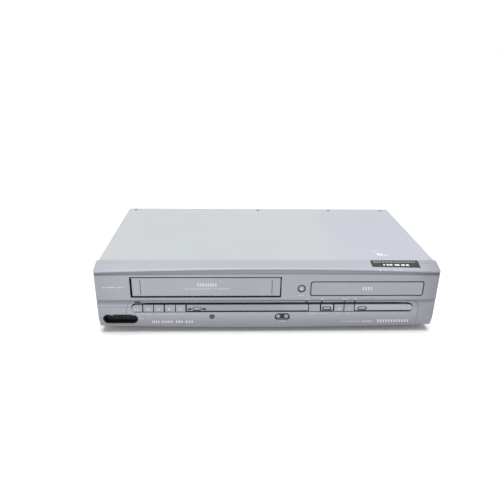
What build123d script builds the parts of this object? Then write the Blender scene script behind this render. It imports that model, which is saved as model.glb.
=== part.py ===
"""DVD and VHS combo player: a table-top player with a cassette deck and a disc drive side by side.

The frame has its origin under the middle of the feet. +X runs to the right seen from the front,
+Y runs to the back and +Z up. All lengths are in millimetres.
"""

import os
from math import acos, atan2, cos, degrees, hypot, pi, radians, sin, tan

from build123d import *

os.makedirs("parts", exist_ok=True)

# ---- driving dimensions -------------------------------------------------------------------------
width = 438.6  # bezel, side to side
depth = 237.0  # chin to the tips of the rear jacks
height = 94.0  # table to the top of the cover

half_width = width / 2
front_y = -depth / 2
rear_y = depth / 2

# clearances
seam = 0.2  # between two fixed mouldings
panel_seam = 0.35  # round the control panel
key_gap = 0.3  # round a key
running = 0.06  # radial, round a shaft that turns
sliding = 0.3  # beside a part that slides

# casing
foot_height = 8.5
foot_radius = 12.0
sheet = 0.8  # steel of the cover and the rear panel
base_sheet = 1.0
cover_inset = 2.0  # bezel stands proud of the cover at each side
cover_fold = 1.0
cover_overhang = 4.0  # cover past the rear panel
jack_reach = 7.0  # rear jack past the panel
base_top = foot_height + base_sheet
side_flange = 15.0

cover_half = half_width - cover_inset
panel_out = rear_y - jack_reach  # outer face of the rear panel
panel_in = panel_out - sheet
cover_back = panel_out + cover_overhang
inner_half = cover_half - sheet - sliding

# bezel
bezel_depth = 22.0
wall = 2.5
face_set_back = 2.0  # flat face behind the chin's front
nose_set_back = 0.5
nose_radius = 1.6
crest_end = 87.9  # height of the arched brow at the ends
crest_rise = 4.3  # and how much higher it is in the middle
cove_foot = 83.1  # line under the brow, in the middle
cove_drop = 1.8  # and how much lower it is at the ends
cove_depth = 1.5
trough_top, trough_mid, trough_low = 48.6, 43.4, 38.6
trough_depth = 1.8
ridge_lean = 0.4  # trough's foot behind the ridge
ridge_height = 32.0
ridge_set_back = 0.4
chin_belly = 24.0  # where the chin stands furthest forward
chin_end = 9.2  # underside of the chin at the ends
chin_dip = 3.2  # and how much lower it is in the middle
chin_edge = 2.4  # its lower edge behind its front
chin_taper = 2.0  # each side draws in by this towards the underside
front_corner, rear_corner = 3.5, 2.0

joint_y = front_y + bezel_depth
face_y = front_y + face_set_back
nose_y = front_y + nose_set_back
ridge_y = front_y + ridge_set_back
inner_y = face_y + wall  # back of the flat face's wall

# cassette opening and its door
slot_width, slot_height = 192.2, 29.4
slot_x, slot_z = -79.65, 64.7
door_gap_left, door_gap_right = 2.5, 1.4
door_gap_top, door_gap_low = 1.3, 2.2
door_thick = 2.2
hinge_drop = 2.6  # pin below the door's top edge
hinge_back = 4.9  # pin behind the door's face
pin_radius = 1.5
door_angle = 80.0

slot_left, slot_right = slot_x - slot_width / 2, slot_x + slot_width / 2
door_left, door_right = slot_left + door_gap_left, slot_right - door_gap_right
slot_low, slot_high = slot_z - slot_height / 2, slot_z + slot_height / 2
door_low, door_high = slot_low + door_gap_low, slot_high - door_gap_top
door_front = face_y + 0.2
hinge_y, hinge_z = door_front + hinge_back, door_high - hinge_drop

# disc opening and its tray
mouth_width, mouth_height, mouth_corner = 147.3, 21.0, 3.0
mouth_x, mouth_z = 127.2, 62.6
mouth_gap = 1.3
tray_front_thick = 2.6
tray_width, tray_length, tray_thick = 136.0, 159.0, 8.0
disc_recess, small_recess = 61.0, 41.0  # radii for 120 mm and 80 mm discs
tray_slot = 44.0

# control panel
panel_left_top, panel_left_low = -180.4, -186.2
panel_right, panel_top = 197.5, 45.2
panel_corner = 10.0
panel_back_y = front_y + 11.5  # the panel's underside ends here
pocket_left, pocket_right = -175.4, 189.2
pocket_low, pocket_high = 29.8, 41.7
pocket_floor_y = front_y + 6.0
pocket_floor = 2.0

# keys
key_low, key_high = 30.1, 39.6
key_travel = 0.8
key_front = front_y + 0.1
key_back = pocket_floor_y - key_travel - key_gap
strip_low = 31.6
bevel_height, bevel_back = 38.4, 1.6
face_lean = 0.4  # bevel's foot behind the key's front
stem_radius = 1.6
board_y = front_y + 16.9  # front of the board behind the keys
board_thick = 1.6
switch_depth = 3.4

# cassette deck
deck_x = slot_x
deck_top, deck_sheet = 38.0, 1.6
deck_front, deck_rear = -84.0, 88.0
holder_half = 95.4  # cassette carriage, half its width
slider_gap, slider_sheet = 3.3, 1.2  # carriage to slider, and the slider's sheet
deck_side = holder_half + slider_gap + slider_sheet + sliding  # inner face of the side plates
deck_left, deck_right = deck_x - deck_side - 5.8, deck_x + deck_side + 3.8
drum_y, drum_radius, drum_tilt = 62.0, 31.0, 5.0
guide_radius = 42.0
guide_start, guide_sweep = 25.0, 80.0
capstan_x, capstan_y, capstan_radius = deck_x + 52.0, 42.0, 2.0
flywheel_radius = 22.0
reel_y, reel_spread = -42.0, 46.2
roller_radius = 6.5
lever_length = 26.0
lever_x, lever_y = deck_x + 69.6, 66.0
roller_gap = 0.3
roller_rest = 16.0
holder_front, holder_length = -87.0, 60.0
holder_high = height - 13.0
slider_low, slider_high = 46.0, height - 10.0
side_plate_high = height - 9.0
holder_in, holder_down = 45.0, 12.0

# disc drive
disc_y = -46.0
loader_low, loader_floor = 48.0, 2.0
loader_half, loader_wall = 75.2, 4.0
loader_front, loader_rear = -110.0, 78.0
rail_top = 72.0
tray_low = 57.0
module = 1.0
gear_teeth = 20
gear_y = -96.0
rack_line = 65.0  # x of the rack's pitch line
rack_pitches = 43  # tray travel in tooth pitches
sled_travel = 34.0
traverse_tilt = 4.0
traverse_pivot_y = 32.0


# ---- helpers ------------------------------------------------------------------------------------
def front_plane(y):
    """Upright plane across the player: sketch x is X, sketch y is Z. Extruding goes forwards."""
    return Plane.XZ.offset(-y)


def side_plane(x):
    """Upright plane along the player: sketch x is Y, sketch y is Z. Extruding goes to the right."""
    return Plane.YZ.offset(x)


def block(x_span, y_span, z_span, mode=Mode.ADD):
    """A block between three pairs of limits."""
    spans = (x_span, y_span, z_span)
    with Locations([tuple((low + high) / 2 for low, high in spans)]):
        Box(*[high - low for low, high in spans], mode=mode)


def post(x, y, z_span, radius, mode=Mode.ADD):
    """An upright cylinder."""
    with Locations((x, y, (z_span[0] + z_span[1]) / 2)):
        Cylinder(radius, z_span[1] - z_span[0], mode=mode)


def barrel(x, y_span, z, radius, mode=Mode.ADD):
    """A cylinder that lies front to back."""
    with Locations(Location((x, (y_span[0] + y_span[1]) / 2, z), (90, 0, 0))):
        Cylinder(radius, y_span[1] - y_span[0], mode=mode)


def cross_pin(x_span, y, z, radius, mode=Mode.ADD):
    """A cylinder that lies side to side."""
    with Locations(Location(((x_span[0] + x_span[1]) / 2, y, z), (0, 90, 0))):
        Cylinder(radius, x_span[1] - x_span[0], mode=mode)


def finish(piece, name):
    """Label a finished piece and write it."""
    piece.part.label = name
    export_step(piece.part, f"parts/{name}.step")


# ---- bezel: one skin, later parted into the bezel and its control panel -------------------------
stations = [half_width * share for share in (-1.004, -0.5, 0, 0.5, 1.004)]


def crest_height(x):
    return crest_end + crest_rise * (1 - (x / half_width) ** 2)


def cove_height(x):
    return cove_foot - cove_drop * (x / half_width) ** 2


def chin_height(x):
    return chin_end - chin_dip * (1 - (x / half_width) ** 2)


def brow_lines(x):
    """The brow from the joint, over its rounded nose and down the cove to the flat face."""
    nose_cy, nose_cz = nose_y + nose_radius, crest_height(x) - nose_radius
    reach = hypot(joint_y - nose_cy, height - nose_cz)
    touch = atan2(height - nose_cz, joint_y - nose_cy) + acos(nose_radius / reach)
    under = radians(205)
    middle = (touch + under) / 2
    on_nose = [
        (nose_cy + nose_radius * cos(a), nose_cz + nose_radius * sin(a))
        for a in (touch, middle, under)
    ]
    line = cove_height(x)
    foot = (face_y + cove_depth, line + 0.5)
    bend = ((on_nose[2][0] + foot[0]) / 2 + 0.35, (on_nose[2][1] + foot[1]) / 2)
    Line((joint_y, height), on_nose[0])
    ThreePointArc(*on_nose)
    ThreePointArc(on_nose[2], bend, foot)
    Line(foot, (face_y, line))
    Polyline((face_y, line), (face_y, slot_high), (joint_y, slot_high), (joint_y, height))


def chin_lines(x):
    """The chin from the ridge, over its belly to the edge of the flat underside."""
    low = chin_height(x)
    front = ridge_y - (ridge_y - front_y) * (1 - (x / half_width) ** 2)
    top = (ridge_y + ridge_lean, trough_low)
    Line(top, (ridge_y, ridge_height))
    ThreePointArc((ridge_y, ridge_height), (front, chin_belly), (front + chin_edge, low))
    Polyline((front + chin_edge, low), (joint_y, low), (joint_y, trough_low), top)


with BuildPart() as brow:
    for x in stations:
        with BuildSketch(side_plane(x)):
            with BuildLine():
                brow_lines(x)
            make_face()
    loft()

with BuildPart() as chin:
    for x in stations:
        with BuildSketch(side_plane(x)):
            with BuildLine():
                chin_lines(x)
            make_face()
    loft()

with BuildPart() as bezel_skin:
    add(brow.part)
    add(chin.part)
    with BuildSketch(side_plane(-half_width)):
        with BuildLine():
            trough_foot = (ridge_y + ridge_lean, trough_low)
            Polyline((joint_y, trough_low), (joint_y, slot_high), (face_y, slot_high), (face_y, trough_top))
            Spline(
                (face_y, trough_top),
                (face_y + trough_depth, trough_mid),
                trough_foot,
                tangents=[(0, -1), (-ridge_lean, ridge_height - trough_low)],
            )
            Line(trough_foot, (joint_y, trough_low))
        make_face()
    extrude(amount=width)
    # plan outline: rounded at all four corners
    with BuildSketch() as plan:
        with Locations((0, front_y - 1 + (bezel_depth + 1) / 2)):
            Rectangle(width, bezel_depth + 1)
        fillet(plan.vertices().group_by(Axis.Y)[0], front_corner + 1)
        fillet(plan.vertices().group_by(Axis.Y)[-1], rear_corner)
    extrude(amount=height + 1, mode=Mode.INTERSECT)
    # the sides draw in below the ridge
    for side in (-1, 1):
        with BuildSketch(front_plane(front_y - 1)):
            with BuildLine():
                Polyline(
                    (side * half_width, ridge_height),
                    (side * (half_width + 2), ridge_height),
                    (side * (half_width + 2), 0),
                    (side * (half_width - chin_taper * ridge_height / (ridge_height - chin_end)), 0),
                    (side * half_width, ridge_height),
                )
            make_face()
        extrude(amount=-(bezel_depth + 2), mode=Mode.SUBTRACT)
    # hollow behind
    side_cavity = half_width - wall - 0.9
    with BuildSketch(side_plane(-side_cavity)):
        with BuildLine():
            Polyline(
                (joint_y + 1, height - wall),
                (joint_y, height - wall),
                (nose_y + 5.0, crest_end - wall - 1.0),
                (inner_y + cove_depth, cove_foot),
                (inner_y, cove_foot - 2.0),
                (inner_y, trough_top + 1.5),
                (inner_y + trough_depth, trough_mid + 3),
                (inner_y + trough_depth, trough_low + 1),
                (ridge_y + wall + 0.3, ridge_height + 1),
                (ridge_y + wall + 0.3, 22.0),
                (ridge_y + 8.0, chin_end + wall),
                (joint_y + 1, chin_end + wall),
                (joint_y + 1, height - wall),
            )
        make_face()
    extrude(amount=2 * side_cavity, mode=Mode.SUBTRACT)


def panel_points():
    """The control panel's outline, whose left edge leans out towards the underside."""
    return [
        (panel_left_low, 0),
        (panel_left_top, panel_top),
        (panel_right, panel_top),
        (panel_right, 0),
    ]


with BuildPart() as panel_prism:
    with BuildSketch(front_plane(front_y - 2)) as panel_face:
        Polygon(*panel_points(), align=None)
        fillet(panel_face.vertices().group_by(Axis.Z)[-1], panel_corner)
    extrude(amount=-(panel_back_y - front_y + 2))

with BuildPart() as panel_inside:
    with BuildSketch(front_plane(front_y - 2)) as panel_inner_face:
        Polygon(*panel_points(), align=None)
        fillet(panel_inner_face.vertices().group_by(Axis.Z)[-1], panel_corner)
        offset(amount=-panel_seam)
    extrude(amount=-(panel_back_y - panel_seam - front_y + 2))

# front jack well: a pill that crosses the panel's left edge
well_x, well_z, well_width, well_height = -190.5, 20.0, 45.0, 13.8
well_depth, well_wall = 10.0, 1.0
lug_places, lug_width, lug_drop = (-201.5, -174.0), 3.4, 1.6  # on the well's upper rim
well_pitch = 13.75
jack_radius, jack_proud = 4.15, 1.0
well_floor_y = front_y + well_depth

# round key that opens the tray
open_key_x, open_key_z, open_key_radius = 42.4, 62.8, 4.0
open_key_ring, open_key_sink = 5.4, 1.6  # recess round it
tongue_thick = 2.0
tongue_reach = 6.5

with BuildPart() as front_bezel:
    add(bezel_skin.part)
    add(panel_prism.part, mode=Mode.SUBTRACT)
    with BuildSketch(front_plane(front_y - 2)):
        with Locations((slot_x, slot_z)):
            RectangleRounded(slot_width, slot_height, 0.8)
        with Locations((mouth_x, mouth_z)):
            RectangleRounded(mouth_width, mouth_height, mouth_corner)
        with Locations((open_key_x, open_key_z)):
            Circle(open_key_radius + key_gap)
        with Locations((well_x, well_z)):
            SlotOverall(well_width, well_height)
    extrude(amount=-(bezel_depth / 2), mode=Mode.SUBTRACT)
    # sunk ring round the open key, and the guide sleeve behind it
    barrel(open_key_x, (front_y, face_y + open_key_sink), open_key_z, open_key_ring, Mode.SUBTRACT)
    barrel(open_key_x, (inner_y - 0.1, inner_y + 4), open_key_z, open_key_radius + key_gap + 1.2)
    barrel(open_key_x, (face_y, inner_y + 5), open_key_z, open_key_radius + key_gap, Mode.SUBTRACT)
    # tongues that pass under the cover and over the base
    tongue_top = height - sheet - seam
    block((-cover_half + 8, cover_half - 8), (joint_y - 6, joint_y + tongue_reach),
          (tongue_top - tongue_thick, tongue_top))
    block((-inner_half + 12, inner_half - 12), (joint_y - 8, joint_y + tongue_reach),
          (base_top, base_top + tongue_thick))
    for side in (-1, 1):
        outer = cover_half - sheet - seam
        reach = sorted((side * outer, side * (outer - tongue_thick)))
        block(reach, (joint_y - 6, joint_y + tongue_reach), (base_top + side_flange, height - 8))
    # ears for the door's pins
    for inner_end, step in ((slot_left, -1), (slot_right, 1)):
        span = sorted((inner_end + step * 1.0, inner_end + step * 4.0))
        block(span, (inner_y - 0.2, hinge_y + 3.5), (hinge_z - 4, hinge_z + 3.4))
        cross_pin((span[0] - 1, span[1] + 1), hinge_y, hinge_z, pin_radius + running, Mode.SUBTRACT)

# ---- control panel ------------------------------------------------------------------------------
lamp_slots = [50.2, 70.4, 99.7, 113.5]
lamp_slot_width, lamp_slot_low, lamp_slot_high = 1.9, 41.9, 45.0
notch_x, notch_width = -167.8, 7.3
sensor_x, sensor_z, sensor_radius = -72.6, 23.5, 3.3
channel_x, channel_z, channel_pitch, channel_radius = 18.9, 22.8, 10.8, 2.9
channel_width, channel_height = 20.1, 10.1
boss_places = [(-150.0, 21.0), (-20.0, 19.0), (60.0, 19.0), (180.0, 21.0)]

# every key on the strip: name, left edge, right edge
strip_keys = [
    ("stop_eject_key", -174.9, -161.9),
    ("rewind_key", -160.4, -147.9),
    ("forward_key", -146.8, -134.3),
    ("play_key", -132.7, -119.9),
    ("record_key", -118.8, -106.7),
    ("disc_power_key", 53.3, 67.4),
    ("disc_stop_key", 86.4, 98.5),
    ("disc_play_key", 99.7, 112.5),
]
# every pill key: name, middle, width, height, width of its well
pill_keys = [
    ("source_key", -91.8, 10.2, 3.6, 11.6),
    ("disc_select_key", 76.5, 9.6, 3.6, 12.2),
    ("dubbing_key", 122.9, 10.0, 3.6, 12.3),
]
pill_z = 35.0
pill_well_height = 5.2
channel_keys = [
    ("channel_down_key", channel_x - channel_pitch / 2),
    ("channel_up_key", channel_x + channel_pitch / 2),
]
key_stems = [(left + right) / 2 for _, left, right in strip_keys]
key_stems += [middle for _, middle, *_ in pill_keys]
channel_floor_y = front_y + 3.2

with BuildPart() as control_panel:
    add(bezel_skin.part)
    add(panel_inside.part, mode=Mode.INTERSECT)
    pocket_size = (pocket_right - pocket_left, pocket_high - pocket_low)
    pocket_mid = ((pocket_left + pocket_right) / 2, (pocket_low + pocket_high) / 2)
    # pocket behind the keys, with a floor that carries the strip
    with BuildSketch(front_plane(front_y + 4)):
        with Locations(pocket_mid):
            RectangleRounded(pocket_size[0] + 3, pocket_size[1] + 3, 5.0)
    extrude(amount=-(pocket_floor_y + pocket_floor - front_y - 4))
    with BuildSketch(front_plane(front_y - 2)):
        with Locations(pocket_mid):
            RectangleRounded(*pocket_size, 4.2)
    extrude(amount=-(pocket_floor_y - front_y + 2), mode=Mode.SUBTRACT)
    # step above the pocket, lamp slots and notch
    block((pocket_left + 6, pocket_right - 6), (front_y - 2, face_y + trough_depth + 0.5),
          (pocket_high - 0.1, pocket_high + 1.8), Mode.SUBTRACT)
    for x in lamp_slots:
        block((x - lamp_slot_width / 2, x + lamp_slot_width / 2), (front_y - 2, face_y + 4.0),
              (lamp_slot_low, lamp_slot_high), Mode.SUBTRACT)
    block((notch_x - notch_width / 2, notch_x + notch_width / 2), (front_y - 2, face_y + 4.0),
          (pocket_high - 0.1, pocket_high + 1.9), Mode.SUBTRACT)
    # stem holes through the pocket's floor
    for x in key_stems:
        barrel(x, (front_y, pocket_floor_y + pocket_floor + 1), pill_z,
               stem_radius + key_gap, Mode.SUBTRACT)
    # sensor window, channel recess with its two key holes, jack well
    barrel(sensor_x, (front_y - 2, joint_y), sensor_z, sensor_radius + seam, Mode.SUBTRACT)
    with BuildSketch(front_plane(front_y + 3)):
        with Locations((channel_x, channel_z)):
            SlotOverall(channel_width + 3, channel_height + 3)
    extrude(amount=-2.6)
    with BuildSketch(front_plane(front_y - 2)):
        with Locations((channel_x, channel_z)):
            SlotOverall(channel_width, channel_height)
    extrude(amount=-(channel_floor_y - front_y + 2), mode=Mode.SUBTRACT)
    for _, x in channel_keys:
        barrel(x, (front_y, joint_y), channel_z, channel_radius + key_gap, Mode.SUBTRACT)
    with BuildSketch(front_plane(front_y - 2)):
        with Locations((well_x, well_z)):
            SlotOverall(well_width, well_height)
    extrude(amount=-bezel_depth, mode=Mode.SUBTRACT)
    # bosses that carry the key board
    for x, z in boss_places:
        barrel(x, (ridge_y + wall, board_y), z, 2.6)


def strip_profile(low):
    """The key strip's section: a bevel along the top and a nearly upright face."""
    Polyline(
        (key_front + bevel_back, key_high),
        (key_front + face_lean, bevel_height),
        (key_front, low + 0.6),
        (key_front + 0.6, low),
        (pocket_floor_y, low),
        (pocket_floor_y, key_high),
        (key_front + bevel_back, key_high),
    )


# fixed stretches of the strip: left edge, right edge
strip_stretches = [(-104.8, 52.2), (69.2, 84.6), (113.6, pocket_right - key_gap)]
lamp_windows_at = [(-101.1, 4.6), (-82.7, 5.2)]
lamp_window_height = 2.6

with BuildPart() as key_strip:
    for left, right in strip_stretches:
        with BuildSketch(side_plane(left)):
            with BuildLine():
                strip_profile(strip_low)
            make_face()
        extrude(amount=right - left)
    # rounded right end
    with BuildSketch(front_plane(front_y - 2)):
        with Locations((pocket_left / 2 + pocket_right / 2, (strip_low + key_high) / 2)):
            RectangleRounded(pocket_size[0] - 2 * key_gap, key_high - strip_low, 3.9)
    extrude(amount=-(pocket_floor_y - front_y + 2), mode=Mode.INTERSECT)
    for _, middle, _, _, well in pill_keys:
        with BuildSketch(front_plane(front_y - 2)):
            with Locations((middle, pill_z)):
                SlotOverall(well, pill_well_height)
        extrude(amount=-(pocket_floor_y - front_y + 3), mode=Mode.SUBTRACT)
    for x, wide in lamp_windows_at:
        block((x - wide / 2, x + wide / 2), (front_y - 2, key_front + 3),
              (pill_z - 0.5 - lamp_window_height / 2, pill_z - 0.5 + lamp_window_height / 2),
              Mode.SUBTRACT)

with BuildPart() as lamp_windows:
    for x, wide in lamp_windows_at:
        half = wide / 2 - 0.1
        low = pill_z - 0.5 - lamp_window_height / 2 + 0.1
        block((x - half, x + half), (key_front + 0.7, key_front + 3), (low, low + 2.4))
    for x in lamp_slots:
        half = lamp_slot_width / 2 - 0.15
        block((x - half, x + half), (face_y + 2.9, face_y + 4.0),
              (lamp_slot_low + 0.2, lamp_slot_high - 0.2))

# ---- keys ---------------------------------------------------------------------------------------
stem_end = board_y - switch_depth - key_travel - 0.1
keys = {}

for name, left, right in strip_keys:
    with BuildPart() as key:
        with BuildSketch(side_plane(left)):
            with BuildLine():
                Polyline(
                    (key_front + bevel_back, key_high),
                    (key_front + face_lean, bevel_height),
                    (key_front, key_low + 0.8),
                    (key_front + 0.8, key_low),
                    (key_back, key_low),
                    (key_back, key_high),
                    (key_front + bevel_back, key_high),
                )
            make_face()
        extrude(amount=right - left)
        if left < pocket_left + 1:  # the first key has the strip's rounded end
            corners = key.edges().filter_by(Axis.Y).group_by(Axis.X)[0]
            fillet(corners, 3.6)
        barrel((left + right) / 2, (key_back - 0.5, stem_end), pill_z, stem_radius)
    keys[name] = key

for name, middle, wide, tall, _ in pill_keys:
    with BuildPart() as key:
        with BuildSketch(front_plane(key_back)):
            with Locations((middle, pill_z)):
                SlotOverall(wide, tall)
        extrude(amount=key_back - key_front)
        chamfer(key.faces().sort_by(Axis.Y)[0].edges(), 0.5)
        barrel(middle, (key_back - 0.5, stem_end), pill_z, stem_radius)
    keys[name] = key

for name, x in channel_keys:
    with BuildPart() as key:
        barrel(x, (front_y + 1.2, stem_end), channel_z, channel_radius)
        fillet(key.faces().sort_by(Axis.Y)[0].edges(), 0.7)
    keys[name] = key

with BuildPart() as open_close_key:
    barrel(open_key_x, (face_y - 0.4, stem_end), open_key_z, open_key_radius)
    fillet(open_close_key.faces().sort_by(Axis.Y)[0].edges(), 1.3)
keys["open_close_key"] = open_close_key

# board behind the keys, with a switch at each stem
switch_places = [(x, pill_z) for x in key_stems]
switch_places += [(x, channel_z) for _, x in channel_keys]
switch_places += [(open_key_x, open_key_z)]
board_left, board_right, board_low, board_high = pocket_left - 0.6, pocket_right + 2.8, 14.5, 43.0
board_notch_x, board_notch_z = -168.0, 28.0  # clears the front jacks

with BuildPart() as key_board:
    with BuildSketch(front_plane(board_y)):
        with Locations(((board_left + board_right) / 2, (board_low + board_high) / 2)):
            Rectangle(board_right - board_left, board_high - board_low)
        with Locations((open_key_x - 6, (board_high + open_key_z + 6) / 2 - 1)):
            Rectangle(20, open_key_z + 6 - board_high + 2)
        with Locations((board_notch_x, board_notch_z)):
            Rectangle(40, 40, align=(Align.MAX, Align.MAX), mode=Mode.SUBTRACT)
    extrude(amount=-board_thick)

with BuildPart() as key_switches:
    for x, z in switch_places:
        block((x - 3, x + 3), (board_y - switch_depth + 0.6, board_y), (z - 3, z + 3))
        barrel(x, (board_y - switch_depth, board_y - switch_depth + 0.7), z, 1.4)
    # infra-red receiver behind its window
    block((sensor_x - 3.5, sensor_x + 3.5), (board_y - 4.5, board_y),
          (sensor_z - 4, sensor_z + 4))

with BuildPart() as sensor_window:
    barrel(sensor_x, (ridge_y - 0.05, board_y - 4.6), sensor_z, sensor_radius)
    fillet(sensor_window.faces().sort_by(Axis.Y)[0].edges(), 0.5)

# ---- front jacks --------------------------------------------------------------------------------
well_jacks = [well_x + step * well_pitch for step in (-1, 0, 1)]

with BuildPart() as jack_well:
    with BuildSketch(front_plane(ridge_y + 0.4)):
        with Locations((well_x, well_z)):
            SlotOverall(well_width - 2 * seam, well_height - 2 * seam)
    extrude(amount=-(well_floor_y + 2 - ridge_y - 0.4))
    with BuildSketch(front_plane(front_y - 1)):
        with Locations((well_x, well_z)):
            SlotOverall(well_width - 2 * well_wall, well_height - 2 * well_wall)
    extrude(amount=-(well_depth + 1), mode=Mode.SUBTRACT)
    rim_top = well_z + well_height / 2 - 2 * seam
    for x in lug_places:
        block((x - lug_width / 2, x + lug_width / 2), (ridge_y + 0.4, ridge_y + 2.4),
              (rim_top - lug_drop, rim_top))
    for x in well_jacks:
        barrel(x, (front_y, joint_y), well_z, jack_radius + 0.1, Mode.SUBTRACT)

with BuildPart() as front_jacks:
    for x in well_jacks:
        barrel(x, (well_floor_y - jack_proud, well_floor_y + 2.1), well_z, jack_radius)
        barrel(x, (well_floor_y - 2 * jack_proud, well_floor_y), well_z, jack_radius - 0.7, Mode.SUBTRACT)
        barrel(x, (well_floor_y - 1, well_floor_y + 2), well_z, 1.7, Mode.SUBTRACT)
        block((x - 5.5, x + 5.5), (well_floor_y + 2.1, well_floor_y + 8), (well_z - 5, well_z + 5))

# ---- cassette door ------------------------------------------------------------------------------
groove_inset, groove_margin, groove_size = 10.8, 2.6, 0.8

with BuildPart() as cassette_door:
    block((door_left, door_right), (door_front, door_front + door_thick), (door_low, door_high))
    chamfer(cassette_door.faces().sort_by(Axis.Y)[0].edges(), 0.6)
    for x in (door_left + groove_inset, door_right - groove_inset):
        block((x - groove_size / 2, x + groove_size / 2), (door_front - 1, door_front + groove_size),
              (door_low + groove_margin, door_high - groove_margin), Mode.SUBTRACT)
    for z in (door_low + 6, door_low + 12):
        block((door_left + 8, door_right - 8), (door_front + door_thick - 0.1,
              door_front + door_thick + 1.5), (z - 0.6, z + 0.6))
    for edge, step in ((door_left, 1), (door_right, -1)):
        block(sorted((edge, edge + step * 3)), (door_front + door_thick - 0.1, hinge_y + 1.5),
              (hinge_z - pin_radius - 0.5, hinge_z + pin_radius + 0.5))
    cross_pin((slot_left - 3.8, door_left + 0.5), hinge_y, hinge_z, pin_radius)
    cross_pin((door_right - 0.5, slot_right + 3.8), hinge_y, hinge_z, pin_radius)

# ---- casing -------------------------------------------------------------------------------------
screw_row = (12.3 - cover_half, -3.4, 115.0, cover_half - 13.6)
cover_screws = [(x, cover_back - 8.0) for x in screw_row]
side_screws = [(-60.0, 17.0), (80.0, 17.0)]  # y, z
screw_head, screw_shank = 2.3, 1.3

with BuildPart() as top_cover:
    cover_low = base_top + 1.0
    cover_length = cover_back - joint_y - seam
    with BuildSketch(front_plane(joint_y + seam)):
        with BuildLine():
            cover_path = FilletPolyline(
                (-cover_half + sheet / 2, cover_low),
                (-cover_half + sheet / 2, height - sheet / 2),
                (cover_half - sheet / 2, height - sheet / 2),
                (cover_half - sheet / 2, cover_low),
                radius=cover_fold,
            )
            offset(cover_path, amount=sheet / 2, side=Side.BOTH)
        make_face()
    extrude(amount=-cover_length)
    # flush screw holes along the rear edge, screw holes and cooling slots in the sides
    for x, y in cover_screws:
        post(x, y, (height - 2, height + 1), screw_head + 0.2, Mode.SUBTRACT)
    for y, z in side_screws:
        cross_pin((-half_width, half_width), y, z, screw_shank + 0.3, Mode.SUBTRACT)
    with BuildSketch(side_plane(-half_width)):
        with Locations((38.0, 52.0)):
            with GridLocations(6.5, 17.0, 12, 2):
                Rectangle(2.4, 12.0)
    extrude(amount=width, mode=Mode.SUBTRACT)

board_low_z, board_sheet = 16.0, 1.6
board_top = board_low_z + board_sheet
board_margin = 11.2  # beside the boards
main_left, main_right, main_front, main_rear = -20.0, inner_half - board_margin, 20.0, panel_in - 1.7
power_left, power_right, power_front = board_margin - inner_half, -70.0, 30.0
standoffs = [(main_left + 6, main_front + 6), (main_right - 6, main_front + 6),
             (main_left + 6, main_rear - 20), (main_right - 6, main_rear - 6),
             (power_left + 6, power_front + 6), (power_right - 6, power_front + 6),
             (power_left + 6, main_rear - 6), (power_right - 6, main_rear - 6)]

base_front = joint_y + 0.5
with BuildPart() as base_plate:
    block((-inner_half, inner_half), (base_front, panel_in - 0.1), (foot_height, base_top))
    for side in (-1, 1):
        reach = sorted((side * inner_half, side * (inner_half - base_sheet)))
        block(reach, (joint_y + tongue_reach + 1, panel_in - 0.1), (foot_height, base_top + side_flange))
    for y, z in side_screws:
        cross_pin((-half_width, half_width), y, z, screw_shank + 0.1, Mode.SUBTRACT)
    with BuildSketch(Plane.XY.offset(foot_height - 1)):
        for side in (-1, 1):
            with Locations((side * inner_half / 2, -20.0)):
                with GridLocations(8.0, 30.0, 9, 2):
                    Rectangle(2.6, 22.0)
    extrude(amount=3, mode=Mode.SUBTRACT)
    for x, y in standoffs:
        post(x, y, (foot_height + base_sheet / 2, board_low_z), 3.0)

foot_inset = 47.3  # middle of a foot, from the cover's side
foot_places = [(side * (cover_half - foot_inset), y) for side in (-1, 1) for y in (-72.0, 84.0)]
with BuildPart() as feet:
    for x, y in foot_places:
        with Locations((x, y, foot_height / 2)):
            Cone(foot_radius - 1.5, foot_radius, foot_height)

# rear panel, its jacks and the two boards they stand on
jack_rows = (30.0, 46.0)
jacks_at = [(x, jack_rows[0]) for x in (60.0, 76.0, 92.0, 114.0, 130.0, 146.0)]
jacks_at += [(x, jack_rows[1]) for x in (60.0, 76.0, 92.0, 130.0)]
s_jack = (114.0, jack_rows[1])
jack_disc = 5.0
aerial_x, aerial_z = 0.0, (28.0, 46.0)
aerial_radius = 4.75
gland_x, gland_z, gland_bore, gland_body = 24.2 - inner_half, 26.0, 3.2, 5.9

with BuildPart() as rear_panel:
    with BuildSketch(front_plane(panel_out)) as panel_sheet:
        with Locations((0, (foot_height + height - sheet) / 2)):
            Rectangle(2 * inner_half, height - sheet - foot_height)
        fillet(panel_sheet.vertices().group_by(Axis.Z)[-1], cover_fold)
    extrude(amount=sheet)
    flange_half = inner_half - cover_fold
    block((-flange_half, flange_half), (panel_in - 12, panel_out),
          (height - 2 * sheet, height - sheet))
    for side in (-1, 1):
        reach = sorted((side * inner_half, side * (inner_half - sheet)))
        block(reach, (panel_in - 8, panel_out),
              (base_top + side_flange + 1, height - sheet - cover_fold))
    for x, y in cover_screws:
        post(x, y, (height - 5, height), screw_shank + 0.1, Mode.SUBTRACT)
    for x, z in jacks_at:
        barrel(x, (panel_in - 1, panel_out + 1), z, jack_disc + seam, Mode.SUBTRACT)
    barrel(s_jack[0], (panel_in - 1, panel_out + 1), s_jack[1], 5.6, Mode.SUBTRACT)
    for z in aerial_z:
        barrel(aerial_x, (panel_in - 1, panel_out + 1), z, aerial_radius + 0.5, Mode.SUBTRACT)
    barrel(gland_x, (panel_in - 1, panel_out + 1), gland_z, gland_body + 0.1, Mode.SUBTRACT)
    with BuildSketch(front_plane(panel_out + 1)):
        with Locations((-inner_half / 2, 62.0)):
            with GridLocations(7.0, 20.0, 14, 2):
                Rectangle(2.6, 14.0)
    extrude(amount=3, mode=Mode.SUBTRACT)

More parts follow.
